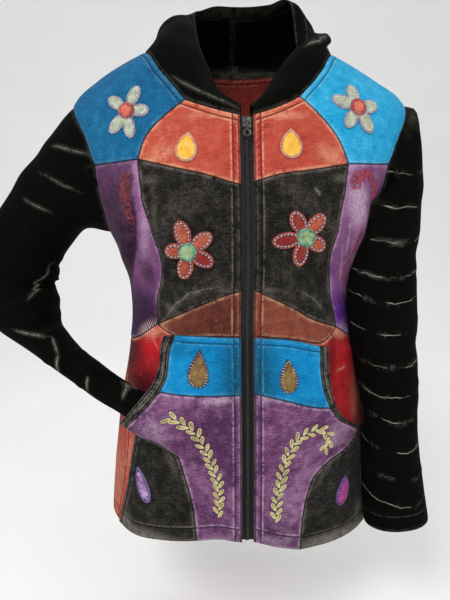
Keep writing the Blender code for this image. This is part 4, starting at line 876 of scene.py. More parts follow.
def jersey(name, dye, worn, speckle, slub, sheen=0.03, specular=0.12, deep_dye_and_painted_shade=None, facing_dye=None,
           bright_and_painted_light_tones=None, with_painted_shade=False, feet=False, marks=None, rings=False, cloudy=0.2, crisp=0.0):
    """Cotton jersey, taken through dye and then washed with stones: blotched, and paler at its seams and
    folds. Some of its tones are painted shade and painted light.
    """
    deep, main, pale, bleached = (linear(c) for c in DYES[dye])
    g = Looks(name, 0.95, sheen, specular=specular)
    cloth, edge = g.value("cloth", "Vector"), g.value("edge")
    cloud, blotch, grain = g.noise(16, 3, 0.55), g.noise(90, 4, 0.62), g.noise(640, 3, 0.7)
    rows = g.noise(1.0, 3, 0.6, g.stretched(cloth, (90, 1100, 1)))
    tone = g.total((cloud, cloudy), (blotch, 0.25), (grain, 0.75 - cloudy - 0.5 * slub), (rows, 0.5 * slub))
    colour = g.mix(g.spread(tone, 0.38 + 0.07 * crisp, 0.50), deep, main)
    colour = g.mix(g.spread(tone, 0.50, 0.64 - 0.08 * crisp), colour, pale)

    # Mixes the colour toward two tones by a share: for dyes, and for painted shade and painted light.
    def dye_and_painted_light(share, first, second, low=0.42):
        return g.mix(share, colour, g.mix(g.spread(tone, low, 0.6), linear(first), linear(second)))

    # The folded facing beside the zip has slanting creases.
    facing = g.spread(g.value("stitch_zip"), 0.4 * MM, -0.6 * MM)
    slant = g.wave(g.total((g.value("run_zip"), math.tau / FACING_CREASE), (g.value("stitch_zip"), -700.0),
                           (blotch, 9.0)))
    slant = g.spread(slant, -0.5, 0.7)
    if facing_dye:
        facing_tone = g.total((g.spread(tone, 0.42, 0.6), 0.4), (slant, 0.6))
        colour = g.mix(g.times(facing, 0.85), colour, g.mix(facing_tone, linear(facing_dye), main))
    if deep_dye_and_painted_shade:
        colour = dye_and_painted_light(g.times(g.value("deep"), g.spread(blotch, 0.26, 0.46)), *deep_dye_and_painted_shade)
    # Brighter red, partly painted light that lifts the panel out of the shade beside the sleeve.
    if bright_and_painted_light_tones:
        colour = dye_and_painted_light(g.times(g.value("bright_and_painted_light"), g.spread(blotch, 0.20, 0.40)), *bright_and_painted_light_tones)
    # Pale specks, as the stones leave them, and wear at the seams, on folds and at stains.
    specks = g.spread(g.total((grain, 0.7), (blotch, 0.3)), 0.55, 0.68, 0.0, speckle)
    colour = g.mix(specks, colour, bleached)
    patchy = g.spread(g.total((blotch, 0.5), (grain, 0.5)), 0.40, 0.56)
    wear = [g.times(g.spread(edge, 5.5 * MM, 0.6 * MM), worn), g.times(g.value("ridge"), worn)]
    grooves, sewing, puckers = [], [], []
    for kind, shift in (("", 0.0), ("_zip", 0.0), ("_zip", SECOND_ROW)):
        signed, run = g.maths("ADD", g.value("stitch" + kind), shift), g.value("run" + kind)
        off = g.maths("ABSOLUTE", signed)
        past = g.maths("ABSOLUTE", g.maths("SUBTRACT", signed, RIDGE_MIDDLE))
        wear.append(g.spread(past, 1.9 * MM, 0.3 * MM, 0.0, worn * (0.3 if shift else 0.8)))
        grooves.append(g.spread(off, 1.3 * MM, 0.5 * MM, 0.0, 0.8))
        stitch = g.spread(g.maths("FRACT", g.maths("DIVIDE", run, STITCH)), *STITCH_SHOWN, 1, 0)
        sewing.append(g.times(g.spread(off, 0.5 * MM, 0.3 * MM), stitch))
        pull = g.wave(g.total((run, math.tau / PUCKER), (blotch, 14.0)))
        puckers.append((g.times(g.spread(off, 5 * MM, 0.5 * MM), pull), 0.16))
    stain = g.times(g.value("stain"), g.spread(g.total((blotch, 0.35), (grain, 0.65)), 0.34, 0.56))
    colour = g.mix(g.most(g.times(g.most(*wear), patchy), stain), colour, bleached)
    # Painted shade where the right strip turns away from the light into the fold under the arm.
    if with_painted_shade:
        colour = dye_and_painted_light(g.times(g.value("painted_shade"), g.spread(tone, 0.62, 0.36, 0.85, 1.0)), *PAINTED_SHADE_TONES, low=0.4)
    if feet:
        # Short pale dashes across the seam at the foot of a strip, where it was tied.
        across, along, _ = g.parts(cloth)
        dash = g.wave(g.total((across, math.tau / FOOT_PITCH), (along, 700.0), (blotch, 5.0)))
        dash = g.times(g.spread(dash, 0.35, 0.7), g.spread(g.noise(300, 2, 0.6), 0.30, 0.40))
        colour = g.mix(g.times(dash, g.value("foot")), colour, linear(FOOT_DASH))
    if marks:
        # Where the cloth was tied before the dye: thin rings and tapered streaks that stayed pale.
        # On the hood these streaks are partly painted highlights on the edges of its folds.
        ragged = g.maths("MULTIPLY_ADD", g.noise(200, 3, 0.7), 3.2 * MM, -1.6 * MM)
        past, share = g.maths("ABSOLUTE", g.maths("ADD", g.value("streak"), ragged)), g.value("streak_share")
        broken = g.spread(g.total((grain, 0.5), (blotch, 0.5)), 0.36, 0.54)
        core = g.times(g.spread(past, 1.1 * MM, 0.0), share, broken)
        halo = g.times(g.spread(past, 4.5 * MM, 0.3 * MM, 0.0, 0.26), share, broken)
        mark = g.most(core, halo)
        if rings:
            phase = g.total((g.value("phase"), 1.0), (g.noise(22, 2, 0.5), 0.34),
                            (g.noise(120, 2, 0.5), 0.10))
            off = g.maths("ABSOLUTE", g.maths("SUBTRACT", g.maths("FRACT", g.maths("ADD", phase, 0.28)), 0.5))
            kept = g.times(g.spread(g.noise(26, 2, 0.6), 0.46, 0.58), g.spread(grain, 0.34, 0.56, 0.35, 0.85))
            bleed = g.times(g.spread(off, 0.16, 0.0, 0.0, 0.16), g.spread(g.noise(40, 4, 0.7), 0.5, 0.66))
            mark = g.most(mark, g.times(g.spread(off, 0.026, 0.002), kept), bleed)
        colour = g.mix(mark, colour, linear(marks))
    seam = g.spread(edge, 1.2 * MM, 0.3 * MM, 0.0, 0.85)
    groove, sewn = g.most(*grooves), g.most(*sewing)
    dark = g.mix(0.3, linear(STITCH_DARK), deep)
    colour = g.mix(g.most(seam, groove), colour, dark)
    colour = g.mix(sewn, colour, g.mix(0.5, dark, main))
    height = g.total((knit(g, cloth), 0.07), (grain, 0.22), (blotch, 0.6), (rows, 0.12), (seam, -0.35),
                     (groove, -0.5), (sewn, 0.25), *puckers, (g.times(slant, facing), 0.35))
    return g.finish(colour, height)


def felt(name, dye):
    """Thick felt: a fuzzy cut edge, painted shade along the stitches as if sunk under them, another tone at
    its middle.
    """
    deep, main, pale, rim, painted_channel_shade, spot_dye = (linear(c) for c in FELTS[dye])
    g = Looks(name, 0.95, 0.1, specular=0.15)
    blotch, grain = g.noise(160, 4, 0.62), g.noise(900, 3, 0.7)
    tone = g.total((blotch, 0.6), (grain, 0.4))
    colour = g.mix(g.spread(tone, 0.40, 0.50), deep, main)
    colour = g.mix(g.spread(tone, 0.50, 0.59), colour, pale)
    edge = g.maths("ADD", g.value("edge"), g.maths("MULTIPLY_ADD", blotch, 2.4 * MM, -1.2 * MM))
    colour = g.mix(g.spread(edge, 3.0 * MM, 4.6 * MM, 0.0, 0.45), colour, spot_dye)
    wine = g.mix(g.spread(grain, 0.4, 0.6), *(linear(c) for c in WINE))
    colour = g.mix(g.times(g.value("deep"), 0.9), colour, wine)
    # Painted shade in a band along the stitches.
    colour = g.mix(g.spread(edge, 3.1 * MM, 1.8 * MM, 0.0, 0.8), colour, painted_channel_shade)
    colour = g.mix(g.spread(edge, 1.2 * MM, 0.5 * MM, 0.0, 0.85), colour, rim)
    return g.finish(colour, g.total((grain, 0.4), (blotch, 0.5)))


def thread_look(name, colour, second):
    """Stranded embroidery cotton."""
    g = Looks(name, 0.55, 0.2)
    strand = g.noise(1500, 2, 0.6)
    shade = g.noise(150, 2, 0.5)
    tone = g.mix(g.spread(g.total((shade, 0.6), (strand, 0.4)), 0.40, 0.62), linear(colour), linear(second))
    return g.finish(tone, g.total((strand, 0.12)))


def metal_look(name):
    """Gunmetal, rubbed bright here and there."""
    g = Looks(name, 0.36, 0.0, 1.0)
    rubbed = g.noise(260, 3, 0.6)
    colour = g.mix(g.spread(rubbed, 0.46, 0.68), linear(METAL), linear(METAL_RUBBED))
    return g.finish(colour, g.total((rubbed, 0.02)), g.spread(rubbed, 0.4, 0.7, 0.26, 0.4))


def plastic_look(name):
    """Moulded teeth: satin black, dusty in the gaps, its pale flecks partly painted glints."""
    g = Looks(name, 0.34)
    dust_and_glint = g.noise(700, 3, 0.6)
    return g.finish(g.mix(g.spread(dust_and_glint, 0.5, 0.68, 0.0, 0.5), linear(PLASTIC), linear(DUST_AND_GLINT)),
                    g.total((dust_and_glint, 0.04)))


def tape_look(name):
    """Woven tape in a fine herringbone."""
    g = Looks(name, 0.85, 0.1)
    x, _, z = g.parts(g.place)
    weave = g.wave(g.times(g.maths("ADD", z, g.maths("PINGPONG", x, 1.1 * MM)), math.tau / (0.9 * MM)))
    lint = g.noise(500, 3, 0.65)
    colour = g.mix(g.spread(lint, 0.54, 0.72, 0.0, 0.3), linear(TAPE), linear(LINT))
    return g.finish(colour, g.total((weave, 0.08), (lint, 0.1)))


def nearest_on(points, line, closed=False):
    """Distance from each point to a line of points, and how far along the line its nearest place is."""
    start, end = (line, np.roll(line, -1, axis=0)) if closed else (line[:-1], line[1:])
    edge = end - start
    length = np.linalg.norm(edge, axis=-1)
    walked = np.concatenate([[0], np.cumsum(length)])
    gaps, runs = [], []
    for part in np.array_split(points, len(points) // 1200 + 1):
        offset = part[:, None] - start[None]
        share = np.clip(np.sum(offset * edge, axis=-1) / np.maximum(length**2, 1e-12), 0, 1)
        gap = np.linalg.norm(offset - share[..., None] * edge, axis=-1)
        best = gap.argmin(axis=1)
        rows = np.arange(len(part))
        gaps.append(gap[rows, best])
        runs.append(walked[best] + share[rows, best] * length[best])
    return np.concatenate(gaps), np.concatenate(runs)


def put(name, data):
    made = bpy.data.objects.new(name, data)
    bpy.context.scene.collection.objects.link(made)
    return made


def add_mesh(name, points, faces, material, values, nodes, sharp=50):
    """A closed piece of the hoodie, in its nodes' place, with its values for the shader."""
    mesh = bpy.data.meshes.new(name)
    mesh.from_pydata(points.tolist(), [], faces)
    shape = bmesh.new()
    shape.from_mesh(mesh)
    bmesh.ops.recalc_face_normals(shape, faces=shape.faces)
    if shape.calc_volume(signed=True) < 0:
        bmesh.ops.reverse_faces(shape, faces=shape.faces)
    shape.to_mesh(mesh)
    shape.free()
    for key, given in values.items():
        kind = "FLOAT_VECTOR" if given.ndim == 2 else "FLOAT"
        made = mesh.attributes.new(key, kind, "POINT")
        made.data.foreach_set("vector" if given.ndim == 2 else "value", given.astype(np.float32).ravel())
    mesh.shade_smooth()
    mesh.set_sharp_from_angle(angle=math.radians(sharp))
    mesh.materials.append(material)
    piece = put(name, mesh)
    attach(piece, "garment")
    if nodes:
        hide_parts(*nodes)
    return piece


def blobs(points, rows):
    """Strongest of soft oval places given as across, height, half width, half height, lean, strength."""
    best = np.zeros(points.shape[:-1])
    for across, height, half_width, half_height, lean, strength in rows:
        c, s = math.cos(math.radians(lean)), math.sin(math.radians(lean))
        dx, dz = points[..., 0] - across * MM, points[..., 2] - height * MM
        u, v = (dx * c - dz * s) / (half_width * MM), (dx * s + dz * c) / (half_height * MM)
        best = np.maximum(best, strength * np.exp(-(u * u + v * v) ** 1.5))
    return best


def clear_inside(points, outline):
    """How far each flat point is inside an outline, or 0 outside."""
    gap = nearest_on(points, outline, True)[0]
    start, end = outline, np.roll(outline, -1, axis=0)
    run = np.where(np.abs(end[:, 1] - start[:, 1]) < 1e-12, 1e-12, end[:, 1] - start[:, 1])
    inside = np.zeros(len(points), bool)
    for rows in np.array_split(np.arange(len(points)), len(points) // 1200 + 1):
        y = points[rows, None, 1]
        crosses = (start[:, 1] > y) != (end[:, 1] > y)
        at = start[:, 0] + (y - start[:, 1]) * (end[:, 0] - start[:, 0]) / run
        inside[rows] = np.sum(crosses & (points[rows, None, 0] < at), axis=1) % 2 == 1
    return np.where(inside, gap, 0)


def ripples(points, edge, kind, seed):
    height, size, full = kind
    return height * (scatter(points, size, seed) - 0.5) * np.clip(edge / full, 0, 1)


def fine_patch(outline, surface, low, thick, step, inset, rim, rows):
    """A fine shell over an outline of spots: its points, its faces, outer spots and outer normals."""
    flat = outline * (FLAT_RADIUS, -1)
    if turns_right(flat):
        flat = flat[::-1]
    count = len(flat)
    reach = rows[-1] + step * 0.45
    # Inside the outline the points lie in rows, each shifted by half a step from the one before.
    (left, bottom), (right, top) = flat.min(axis=0), flat.max(axis=0)
    levels = np.arange(bottom + step * 0.5, top, step * 0.87)
    starts = left + step * (0.25 + 0.5 * (np.arange(len(levels)) % 2))
    lattice = [np.stack([x := np.arange(a, right, step), np.full(len(x), y)], axis=-1)
               for a, y in zip(starts, levels)]
    lattice = np.concatenate(lattice) if lattice else np.zeros((0, 2))
    inner = [lattice[clear_inside(lattice, flat) > reach]] if len(lattice) else []
    up = np.broadcast_to((0.0, 0.0, 1.0), (count, 3))
    inward = sideways(np.concatenate([flat, np.zeros((count, 1))], axis=1), up, True)[:, :2]
    for row in rows:
        moved = flat + inward * row
        inner.append(moved[clear_inside(moved, flat) > row * 0.85])
    corners = [Vector(p) for p in np.concatenate([flat] + inner)]
    made = delaunay_2d_cdt(corners, [], [list(range(count))], 1, 1e-6)
    spots = np.array([tuple(p) for p in made[0]]) / (FLAT_RADIUS, -1)
    points, normals = lie(surface, spots)
    points[:count] += sideways(points[:count], normals[:count], True) * inset
    inside = points + normals * low
    edge = nearest_on(inside, inside[:count], True)[0]
    ripple = ripples(points, edge, PANEL_RIPPLE, 3)
    height = thick - rim[0] * bell(edge, rim[1]) + ripple * (thick > EVEN_UNDER)
    outside = inside + normals * height[:, None]
    border = [(i, (i + 1) % count) for i in range(count)]
    solid = shell_faces([tuple(face) for face in made[2]], len(spots), border)
    return np.concatenate([outside, inside]), solid, spots, normals, edge


def twice(values):
    return np.concatenate([values, values])


def stitch_values(points, line, offset, surface, low):
    """How far points are past a row of stitches beside a line of spots, and how far along the line."""
    places, normals = lie(surface, line)
    places += normals * (low + CLOTH)
    gap, along = nearest_on(points, places)
    # A point past an end of the line is measured square to the line, so the row runs on straight.
    for end, inner, where in ((0, 1, along <= 0), (-1, -2, along >= along.max())):
        toward = unit(places[inner] - places[end])
        offsets = points - places[end]
        beside = np.linalg.norm(offsets - np.sum(offsets * toward, axis=1)[:, None] * toward, axis=1)
        gap = np.where(where, beside, gap)
    return gap - offset * MM, along


WORN_FROM, WORN_OVER, WORN_SHARE = 1.5 * MM, 4.5 * MM, 0.35  # how folds of the panels are rubbed pale


def cloth_patch(name, lines, surface, material, stitched, step=PANEL_STEP):
    """One sewn panel. stitched: lines of spots with the distance of a row of stitches from each."""
    points, faces, spots, normals, edge = fine_patch(
        outline_of(*lines), surface, 0.0, CLOTH, step, SEAM_GAP / 2, PANEL_RIM, PANEL_ROWS)
    total = len(spots)
    outer = points[:total]
    flat = np.stack([spots[:, 0] * KNIT_RADIUS * MM, spots[:, 1], np.zeros(total)], axis=-1)
    values = {"edge": edge, "cloth": flat}
    for kind in ("", "_zip"):
        values["stitch" + kind], values["run" + kind] = np.full(total, FAR), np.zeros(total)
    for line, offset, kind in stitched:
        values["stitch" + kind], values["run" + kind] = stitch_values(outer, line, offset, surface, 0.0)
    lift = fold_height(body_ring(*spots.T), np.cos(spots[:, 0]))
    values["ridge"] = np.clip((lift - WORN_FROM) / WORN_OVER, 0, 1) * WORN_SHARE
    for key, places in PLACES.items():
        values[key] = blobs(outer, places.get(name, ()))
    # Painted shade on the right strip, where it folds away under the arm.
    if name == "side_strip_right":
        across, height, share = np.array(PAINTED_SHADE_EDGE).T * ((MM,), (MM,), (1,))
        past = (np.interp(outer[:, 2], height, across) - outer[:, 0]) / MM
        shade = step_between(-1.5, 2.5, past) * np.interp(outer[:, 2], height, share)
        values["painted_shade"] = np.maximum(shade, blobs(outer, PAINTED_SHADE_PLACES))
    values["streak"], values["streak_share"] = streak_values(outer, normals, PANEL_LINES.get(name, ()))
    add_mesh(name + "_cloth", points, faces, material, {key: twice(v) for key, v in values.items()},
             [name])


# Shares of its length over which a streak comes and goes, and distances beside it over which it fades.
STREAK_RISE, STREAK_FALL = (-0.12, 0.25), (0.6, 1.2)
STREAK_NEAR, STREAK_GONE = 9 * MM, 16 * MM


def streak_values(points, outward, rows):
    """How far points are beside the nearest of some lines, with a sign, and how strongly it shows there."""
    streak, share = np.full(points.shape[:-1], FAR), np.zeros(points.shape[:-1])
    for *line, strength in rows:
        line = np.array(line) * MM
        walked = lengths_along(line)
        nearest = np.full(streak.shape, FAR)
        for start, end, before in zip(line, line[1:], walked):
            length = np.linalg.norm(end - start)
            toward = (end - start) / length
            offset = points - start
            along = np.sum(offset * toward, axis=-1)
            gap = np.linalg.norm(offset - np.clip(along, 0, length)[..., None] * toward, axis=-1)
            at = (before + along) / walked[-1]
            taper = strength * step_between(*STREAK_RISE, at) * (1 - step_between(*STREAK_FALL, at))
            taper = taper * (1 - step_between(STREAK_NEAR, STREAK_GONE, gap))
            here = (gap < nearest) & (taper > share)
            beside = np.sum(offset * np.cross(outward, toward), axis=-1)
            streak, share = np.where(here, beside, streak), np.where(here, taper, share)
            nearest = np.minimum(nearest, gap)
    return streak, share


# Sheets of cloth: flat width and length in millimetres and area in square centimetres, on the right and on
# the left; what it hangs from; and what is sewn onto it, with # for its number, which is the first one on
# the right and the next on the left, and @ for the side.
FLOWER_PARTS = "flower_#_felt flower_heart_#_felt flower_stitches_# heart_stitches_#"
DROP_PARTS = "teardrop_#_felt teardrop_stitches_#"
CUTS = {
    "shoulder@": ((152, 188, 178), (158, 192, 191), "", FLOWER_PARTS, 1),
    "yoke@": ((118, 100, 75), (114, 100, 72), "shoulder@", DROP_PARTS, 1),
    "chest@": ((128, 204, 168), (126, 206, 170), "yoke@", FLOWER_PARTS + " flower_rim_# flower_line_#", 3),
    "side_strip@": ((138, 236, 216), (140, 236, 218), "shoulder@", "red_loops@ blue_loops@ red_chain@", 1),
    "waist@": ((112, 60, 37), (120, 72, 40), "chest@", "", 1),
    "front_lower@": ((232, 290, 460), (236, 290, 485), "waist@ side_strip@", "", 1),
    "back": ((560, 630, 3050), None, "shoulder_right shoulder_left", "", 1),
    "pocket_band@": ((104, 92, 62), (104, 98, 63), "front_lower@", DROP_PARTS, 3),
    "pocket@": ((150, 208, 168), (152, 214, 171), "front_lower@", "vine_stem@ vine_leaves@", 1),
    "pocket_corner@": ((126, 156, 138), (118, 146, 124), "front_lower@", DROP_PARTS, 5),
    "pocket_binding@": ((13, 164, 20), (10, 148, 13), "front_lower@", "", 1),
    "sleeve@": ((330, 520, 1270), (330, 560, 1480), "shoulder@ back", "", 1),
    "hood@": ((280, 340, 640), (280, 340, 615), "shoulder@ back", "", 1),
    "zip_tape@": ((12.7, 520, 64), (12.7, 520, 64), "yoke@", "", 1),
}


def declare_sheets():
    """Runs through each side's sheet of cloth in the table, skipping a side without one; nothing is passed
    on.
    """
    for panel, (*cuts, hung_from, sewn_on, number) in CUTS.items():
        for (_, tag), cut, n in zip(SIDES, cuts, (number, number + 1)):
            if not cut:
                continue


def make_looks():
    """The jerseys, felts and threads by name."""
    blue, plain_black = (0.12, 0.6), (0.01, 0.3, 0.0, 0.05)
    looks = {
        "blue_right": jersey("blue_jersey_right", "blue_right", 0.35, *blue),
        "blue_left": jersey("blue_jersey_left", "blue_left", 0.35, *blue),
        # The pocket band's deep tones are mostly painted shade along the zip.
        "blue_band": jersey("blue_jersey_pocket", "blue_band", 0.3, 0.10, 0.6,
                            deep_dye_and_painted_shade=((6, 50, 72), (14, 78, 104))),
        "rust": jersey("rust_jersey", "rust", 0.75, 0.15, 0.6, facing_dye=(150, 24, 34)),
        "waist": jersey("waist_jersey", "waist", 0.7, 0.2, 0.6, facing_dye=(140, 50, 40),
                        deep_dye_and_painted_shade=((56, 24, 20), (88, 44, 36))),
        "charcoal": jersey("charcoal_jersey", "charcoal", 0.55, 0.18, 0.6, marks=(150, 146, 138), cloudy=0.08,
                           crisp=1.0),
        "binding": jersey("binding_jersey", "charcoal", 0.95, 0.35, 0.5, cloudy=0.06, crisp=1.0),
        "purple": jersey("purple_jersey", "purple", 0.7, 0.25, 0.6, cloudy=0.32, crisp=0.8),
        # Its deep tones are darker than the left strip's, partly as painted shade at its foot under the arm.
        "strip_right": jersey("strip_jersey_right", "strip", 0.5, 0.25, 0.4,
                              deep_dye_and_painted_shade=((40, 8, 62), (66, 20, 96)), with_painted_shade=True, feet=True),
        "strip_left": jersey("strip_jersey_left", "strip", 0.5, 0.25, 0.4,
                             deep_dye_and_painted_shade=((70, 18, 118), (112, 44, 166)), feet=True),
        "red": jersey("red_jersey", "red", 0.6, 0.06, 0.5, deep_dye_and_painted_shade=((38, 6, 14), (96, 12, 24)),
                      bright_and_painted_light_tones=((176, 12, 30), (206, 34, 50)), feet=True, marks=(222, 160, 124)),
        "black": jersey("black_jersey", "black", 0.3, *plain_black, marks=(150, 146, 134), rings=True),
        # Its pale marks are partly painted highlights on the hood's folds.
        "hood": jersey("hood_jersey", "black", 0.35, *plain_black, marks=(136, 132, 122)),
        "back": jersey("back_jersey", "back", 0.5, 0.12, 0.6),
    }
    looks.update({"felt_" + name: felt("felt_" + name, name) for name in FELTS})
    looks.update({"thread_" + name: thread_look("thread_" + name, *dyes) for name, dyes in THREADS.items()})
    return looks


# Painted shade where the right strip folds under the arm, from its foot up: across, height, and how dark it
# is.
PAINTED_SHADE_EDGE = ((-140, -300, 0.4), (-136, -280, 0.8), (-132, -263, 1.0), (-126, -242, 1.0), (-124, -212, 0.95),
             (-125, -195, 0.88), (-127, -176, 0.75), (-128, -140, 0.5))
# Soft places of more painted shade on the right strip: across, height, half width, half height, lean,
# strength.
PAINTED_SHADE_PLACES = ((-115, -272, 9, 20, -12, 0.8), (-124, -326, 40, 34, 0, 0.8))
# Pale and dark places of the dyes, some dark ones partly painted shade: across, height, half width,
# half height, lean, strength.
STAINS = {
    "side_strip_right": ((-116, -222, 6, 40, 4, 0.5), (-120, -150, 9, 10, 0, 0.45)),
    "side_strip_left": ((132, -192, 15, 28, -10, 0.9), (118, -150, 12, 10, 0, 0.6),
                        (122, -225, 2.2, 34, 4, 0.5), (115, -262, 2, 26, -4, 0.45)),
    "front_lower_right": ((-108, -345, 14, 5, -38, 0.6), (-98, -362, 4, 20, 0, 0.45),
                          (-146, -520, 12, 90, 0, 0.42)),
    "front_lower_left": ((116, -350, 14, 6, 30, 0.6), (148, -440, 12, 36, 0, 0.3),
                         (150, -520, 10, 60, 0, 0.3)),
    "chest_right": ((-108, -165, 12, 5, 0, 0.4), (-88, -312, 12, 5, 42, 0.35), (-22, -290, 16, 4, 0, 0.4),
                    (-104, -210, 3, 30, 0, 0.3)),
    "chest_left": ((112, -165, 14, 5, 0, 0.4), (104, -330, 10, 6, -40, 0.35), (24, -290, 16, 4, 0, 0.4),
                   (100, -262, 3, 40, 0, 0.3)),
    "pocket_corner_right": ((-130, -612, 66, 13, 0, 1.0), (-156, -600, 9, 18, 0, 0.8),
                            (-92, -500, 5, 20, -24, 0.35)),
    "pocket_corner_left": ((118, -616, 66, 13, 0, 0.9), (152, -594, 8, 20, 0, 0.7),
                           (96, -520, 5, 20, 30, 0.3)),
    "pocket_right": ((-34, -418, 22, 5, 0, 0.7), (-22, -600, 40, 8, 0, 0.35), (-110, -450, 20, 12, 30, 0.35)),
    "pocket_left": ((24, -418, 14, 5, 0, 0.5), (24, -600, 40, 8, 0, 0.35), (110, -470, 20, 14, -30, 0.4)),
    "yoke_right": ((-96, -138, 18, 10, -30, 0.45), (-40, -96, 30, 4, 0, 0.4)),
    "yoke_left": ((96, -140, 18, 10, 30, 0.45), (40, -96, 30, 4, 0, 0.5)),
    "back": ((-165, -560, 24, 60, 0, 0.4),),
}
DEEP = {
    # Partly painted shade, where the strip folds under the arm.
    "side_strip_right": ((-135, -338, 60, 50, 0, 1.0), (-150, -262, 16, 40, 0, 0.6),
                         (-100, -300, 5, 50, 0, 0.5)),
    "side_strip_left": ((130, -338, 60, 40, 0, 1.0), (98, -290, 8, 30, 0, 0.6)),
    "front_lower_right": ((-124, -414, 40, 24, 0, 1.0), (-148, -372, 24, 50, 0, 0.9),
                          (-94, -372, 6, 30, 0, 0.7)),
    "front_lower_left": ((108, -372, 7, 34, 0, 0.5),),
    "waist_right": ((-30, -330, 80, 60, 0, 0.85),),
    "waist_left": ((4, -330, 16, 60, 0, 0.4),),
    # Painted shade, darker along the zip.
    "pocket_band_right": ((-6, -395, 26, 60, 0, 0.95), (-80, -360, 30, 8, 0, 0.3)),
    "pocket_band_left": ((6, -395, 30, 60, 0, 1.0), (70, -428, 30, 10, 0, 0.3)),
}
# Brightest places of the red, partly painted light, and the tied places at the feet of the strips, in the
# same columns.
BRIGHT_AND_PAINTED_LIGHT = {
    "front_lower_right": ((-115, -361, 12, 17, 0, 0.85),),
    # Painted light where the panel runs into the shade beside the sleeve, as well as brighter red.
    "front_lower_left": ((136, -382, 14, 26, -18, 1.0),),
}
FOOT_RIGHT, FOOT_LEFT = ((-119, -341, 7, 15, 51, 1.0),), ((128, -347, 8, 13, -57, 1.0),)
FEET = {"side_strip_right": FOOT_RIGHT, "front_lower_right": FOOT_RIGHT,
        "side_strip_left": FOOT_LEFT, "front_lower_left": FOOT_LEFT}
PLACES = {"stain": STAINS, "deep": DEEP, "bright_and_painted_light": BRIGHT_AND_PAINTED_LIGHT, "foot": FEET}
# Thin pale lines of the panels, in millimetres: the points of a line, then its strength.
PANEL_LINES = {
    "chest_right": (((-96, -84, -325), (-84, -95, -309), (-70, -104, -296), (-54, -112, -289),
                     (-33, -115, -284), 0.55),),
    "chest_left": (((74, -111, -174), (77, -111, -177), (81, -110, -181), (82, -110, -185), 0.9),
                   ((96, -86, -322), (80, -98, -304), (62, -108, -292), 0.4)),
    "front_lower_right": (((-112, -70, -352), (-104, -76, -366), 0.6),),
    "front_lower_left": (((114, -78, -397), (122, -70, -395), (129, -65, -393), 0.7),
                         ((144, -54, -421), (145, -57, -442), (143, -62, -464), 0.7)),
    "pocket_corner_right": (((-150, -65, -500), (-128, -74, -476), (-112, -80, -470), 0.3),),
    "pocket_corner_left": (((84, -78, -590), (96, -74, -548), (118, -70, -520), 0.3),),
}


def add_body(looks):
    """The sewn panels of the two fronts and the back. Returns the seams of each side."""
    fronts = {}
    for side, tag in SIDES:
        s = fronts[side] = side_seams(side, SEAMS)
        starts = ("neck_low", "yoke_chest", "chest_waist", "waist_lower", "hem")
        stops = [height_at(s[name], 0) for name in starts]
        zips = {name: rev(zip_edge(side, top, bottom))
                for name, top, bottom in zip(("yoke", "chest", "waist", "lower"), stops, stops[1:])}
        at_zip = {name: (line, ZIP_ROW, "_zip") for name, line in zips.items()}
        pieces = (
            ("shoulder", "blue" + tag, "blue_jersey",
             (s["neck_high"], s["shoulder"], s["arm_high"], rev(s["shoulder_strip"]),
              rev(s["shoulder_yoke"])),
             ((s["neck_high"], NECK_ROW, ""),)),
            ("yoke", "rust", "rust_jersey",
             (s["neck_low"], s["shoulder_yoke"], rev(s["yoke_chest"]), zips["yoke"]),
             ((s["neck_low"], NECK_ROW, ""), at_zip["yoke"])),
            ("chest", "charcoal", "charcoal_jersey",
             (s["yoke_chest"], s["chest_strip"], rev(s["chest_waist"]), zips["chest"]), (at_zip["chest"],)),
            ("side_strip", "strip" + tag, "purple_jersey",
             (s["shoulder_strip"], s["arm_low"], s["side_high"], rev(s["strip_lower"]),
              rev(s["chest_strip"])), ()),
            ("waist", "waist", "rust_jersey", (s["chest_waist"], rev(s["waist_lower"]), zips["waist"]),
             (at_zip["waist"],)),
            ("front_lower", "red", "red_jersey",
             (s["waist_lower"], s["strip_lower"], s["side_low"], rev(s["hem"]), zips["lower"]),
             ((s["hem"], HEM_ROW, ""), at_zip["lower"])),
        )
        for name, look, slot_name, lines, stitched in pieces:
            cloth_patch(name + tag, lines, body_cloth, looks[look], stitched,
                        STRIP_STEP if name in ("side_strip", "front_lower") else PANEL_STEP)
    full_turn = (2 * math.pi, 0)
    right, left = fronts[RIGHT], fronts[LEFT]
    arm_right, arm_left = back_line(RIGHT, ARM_BACK), back_line(LEFT, ARM_BACK)
    neck_right, neck_left = back_line(RIGHT, NECK_BACK), back_line(LEFT, NECK_BACK)
    hem_start, hem_end = left["hem"][-1], right["hem"][-1] + full_turn
    middle = np.array([math.pi, level_of(-606 * MM)])
    hem = seam_line(np.stack([hem_start, (hem_start * 2 + middle) / 3 + (0, 2 * MM), middle,
                              (hem_end * 2 + middle) / 3 + (0, 2 * MM), hem_end]))
    lines = (left["shoulder"], arm_left, left["side_high"], left["side_low"], hem,
             rev(right["side_low"] + full_turn), rev(right["side_high"] + full_turn),
             rev(arm_right + full_turn), rev(right["shoulder"] + full_turn),
             neck_right + full_turn, rev(neck_left))
    neck = np.concatenate([neck_left, (neck_right + full_turn)[::-1]])
    cloth_patch("back", lines, body_cloth, looks["back"],
                ((hem, HEM_ROW, ""), (neck, EDGE_ROW, "_zip")), BACK_STEP)
    return {RIGHT: (right, arm_right, neck_right), LEFT: (left, arm_left, neck_left)}


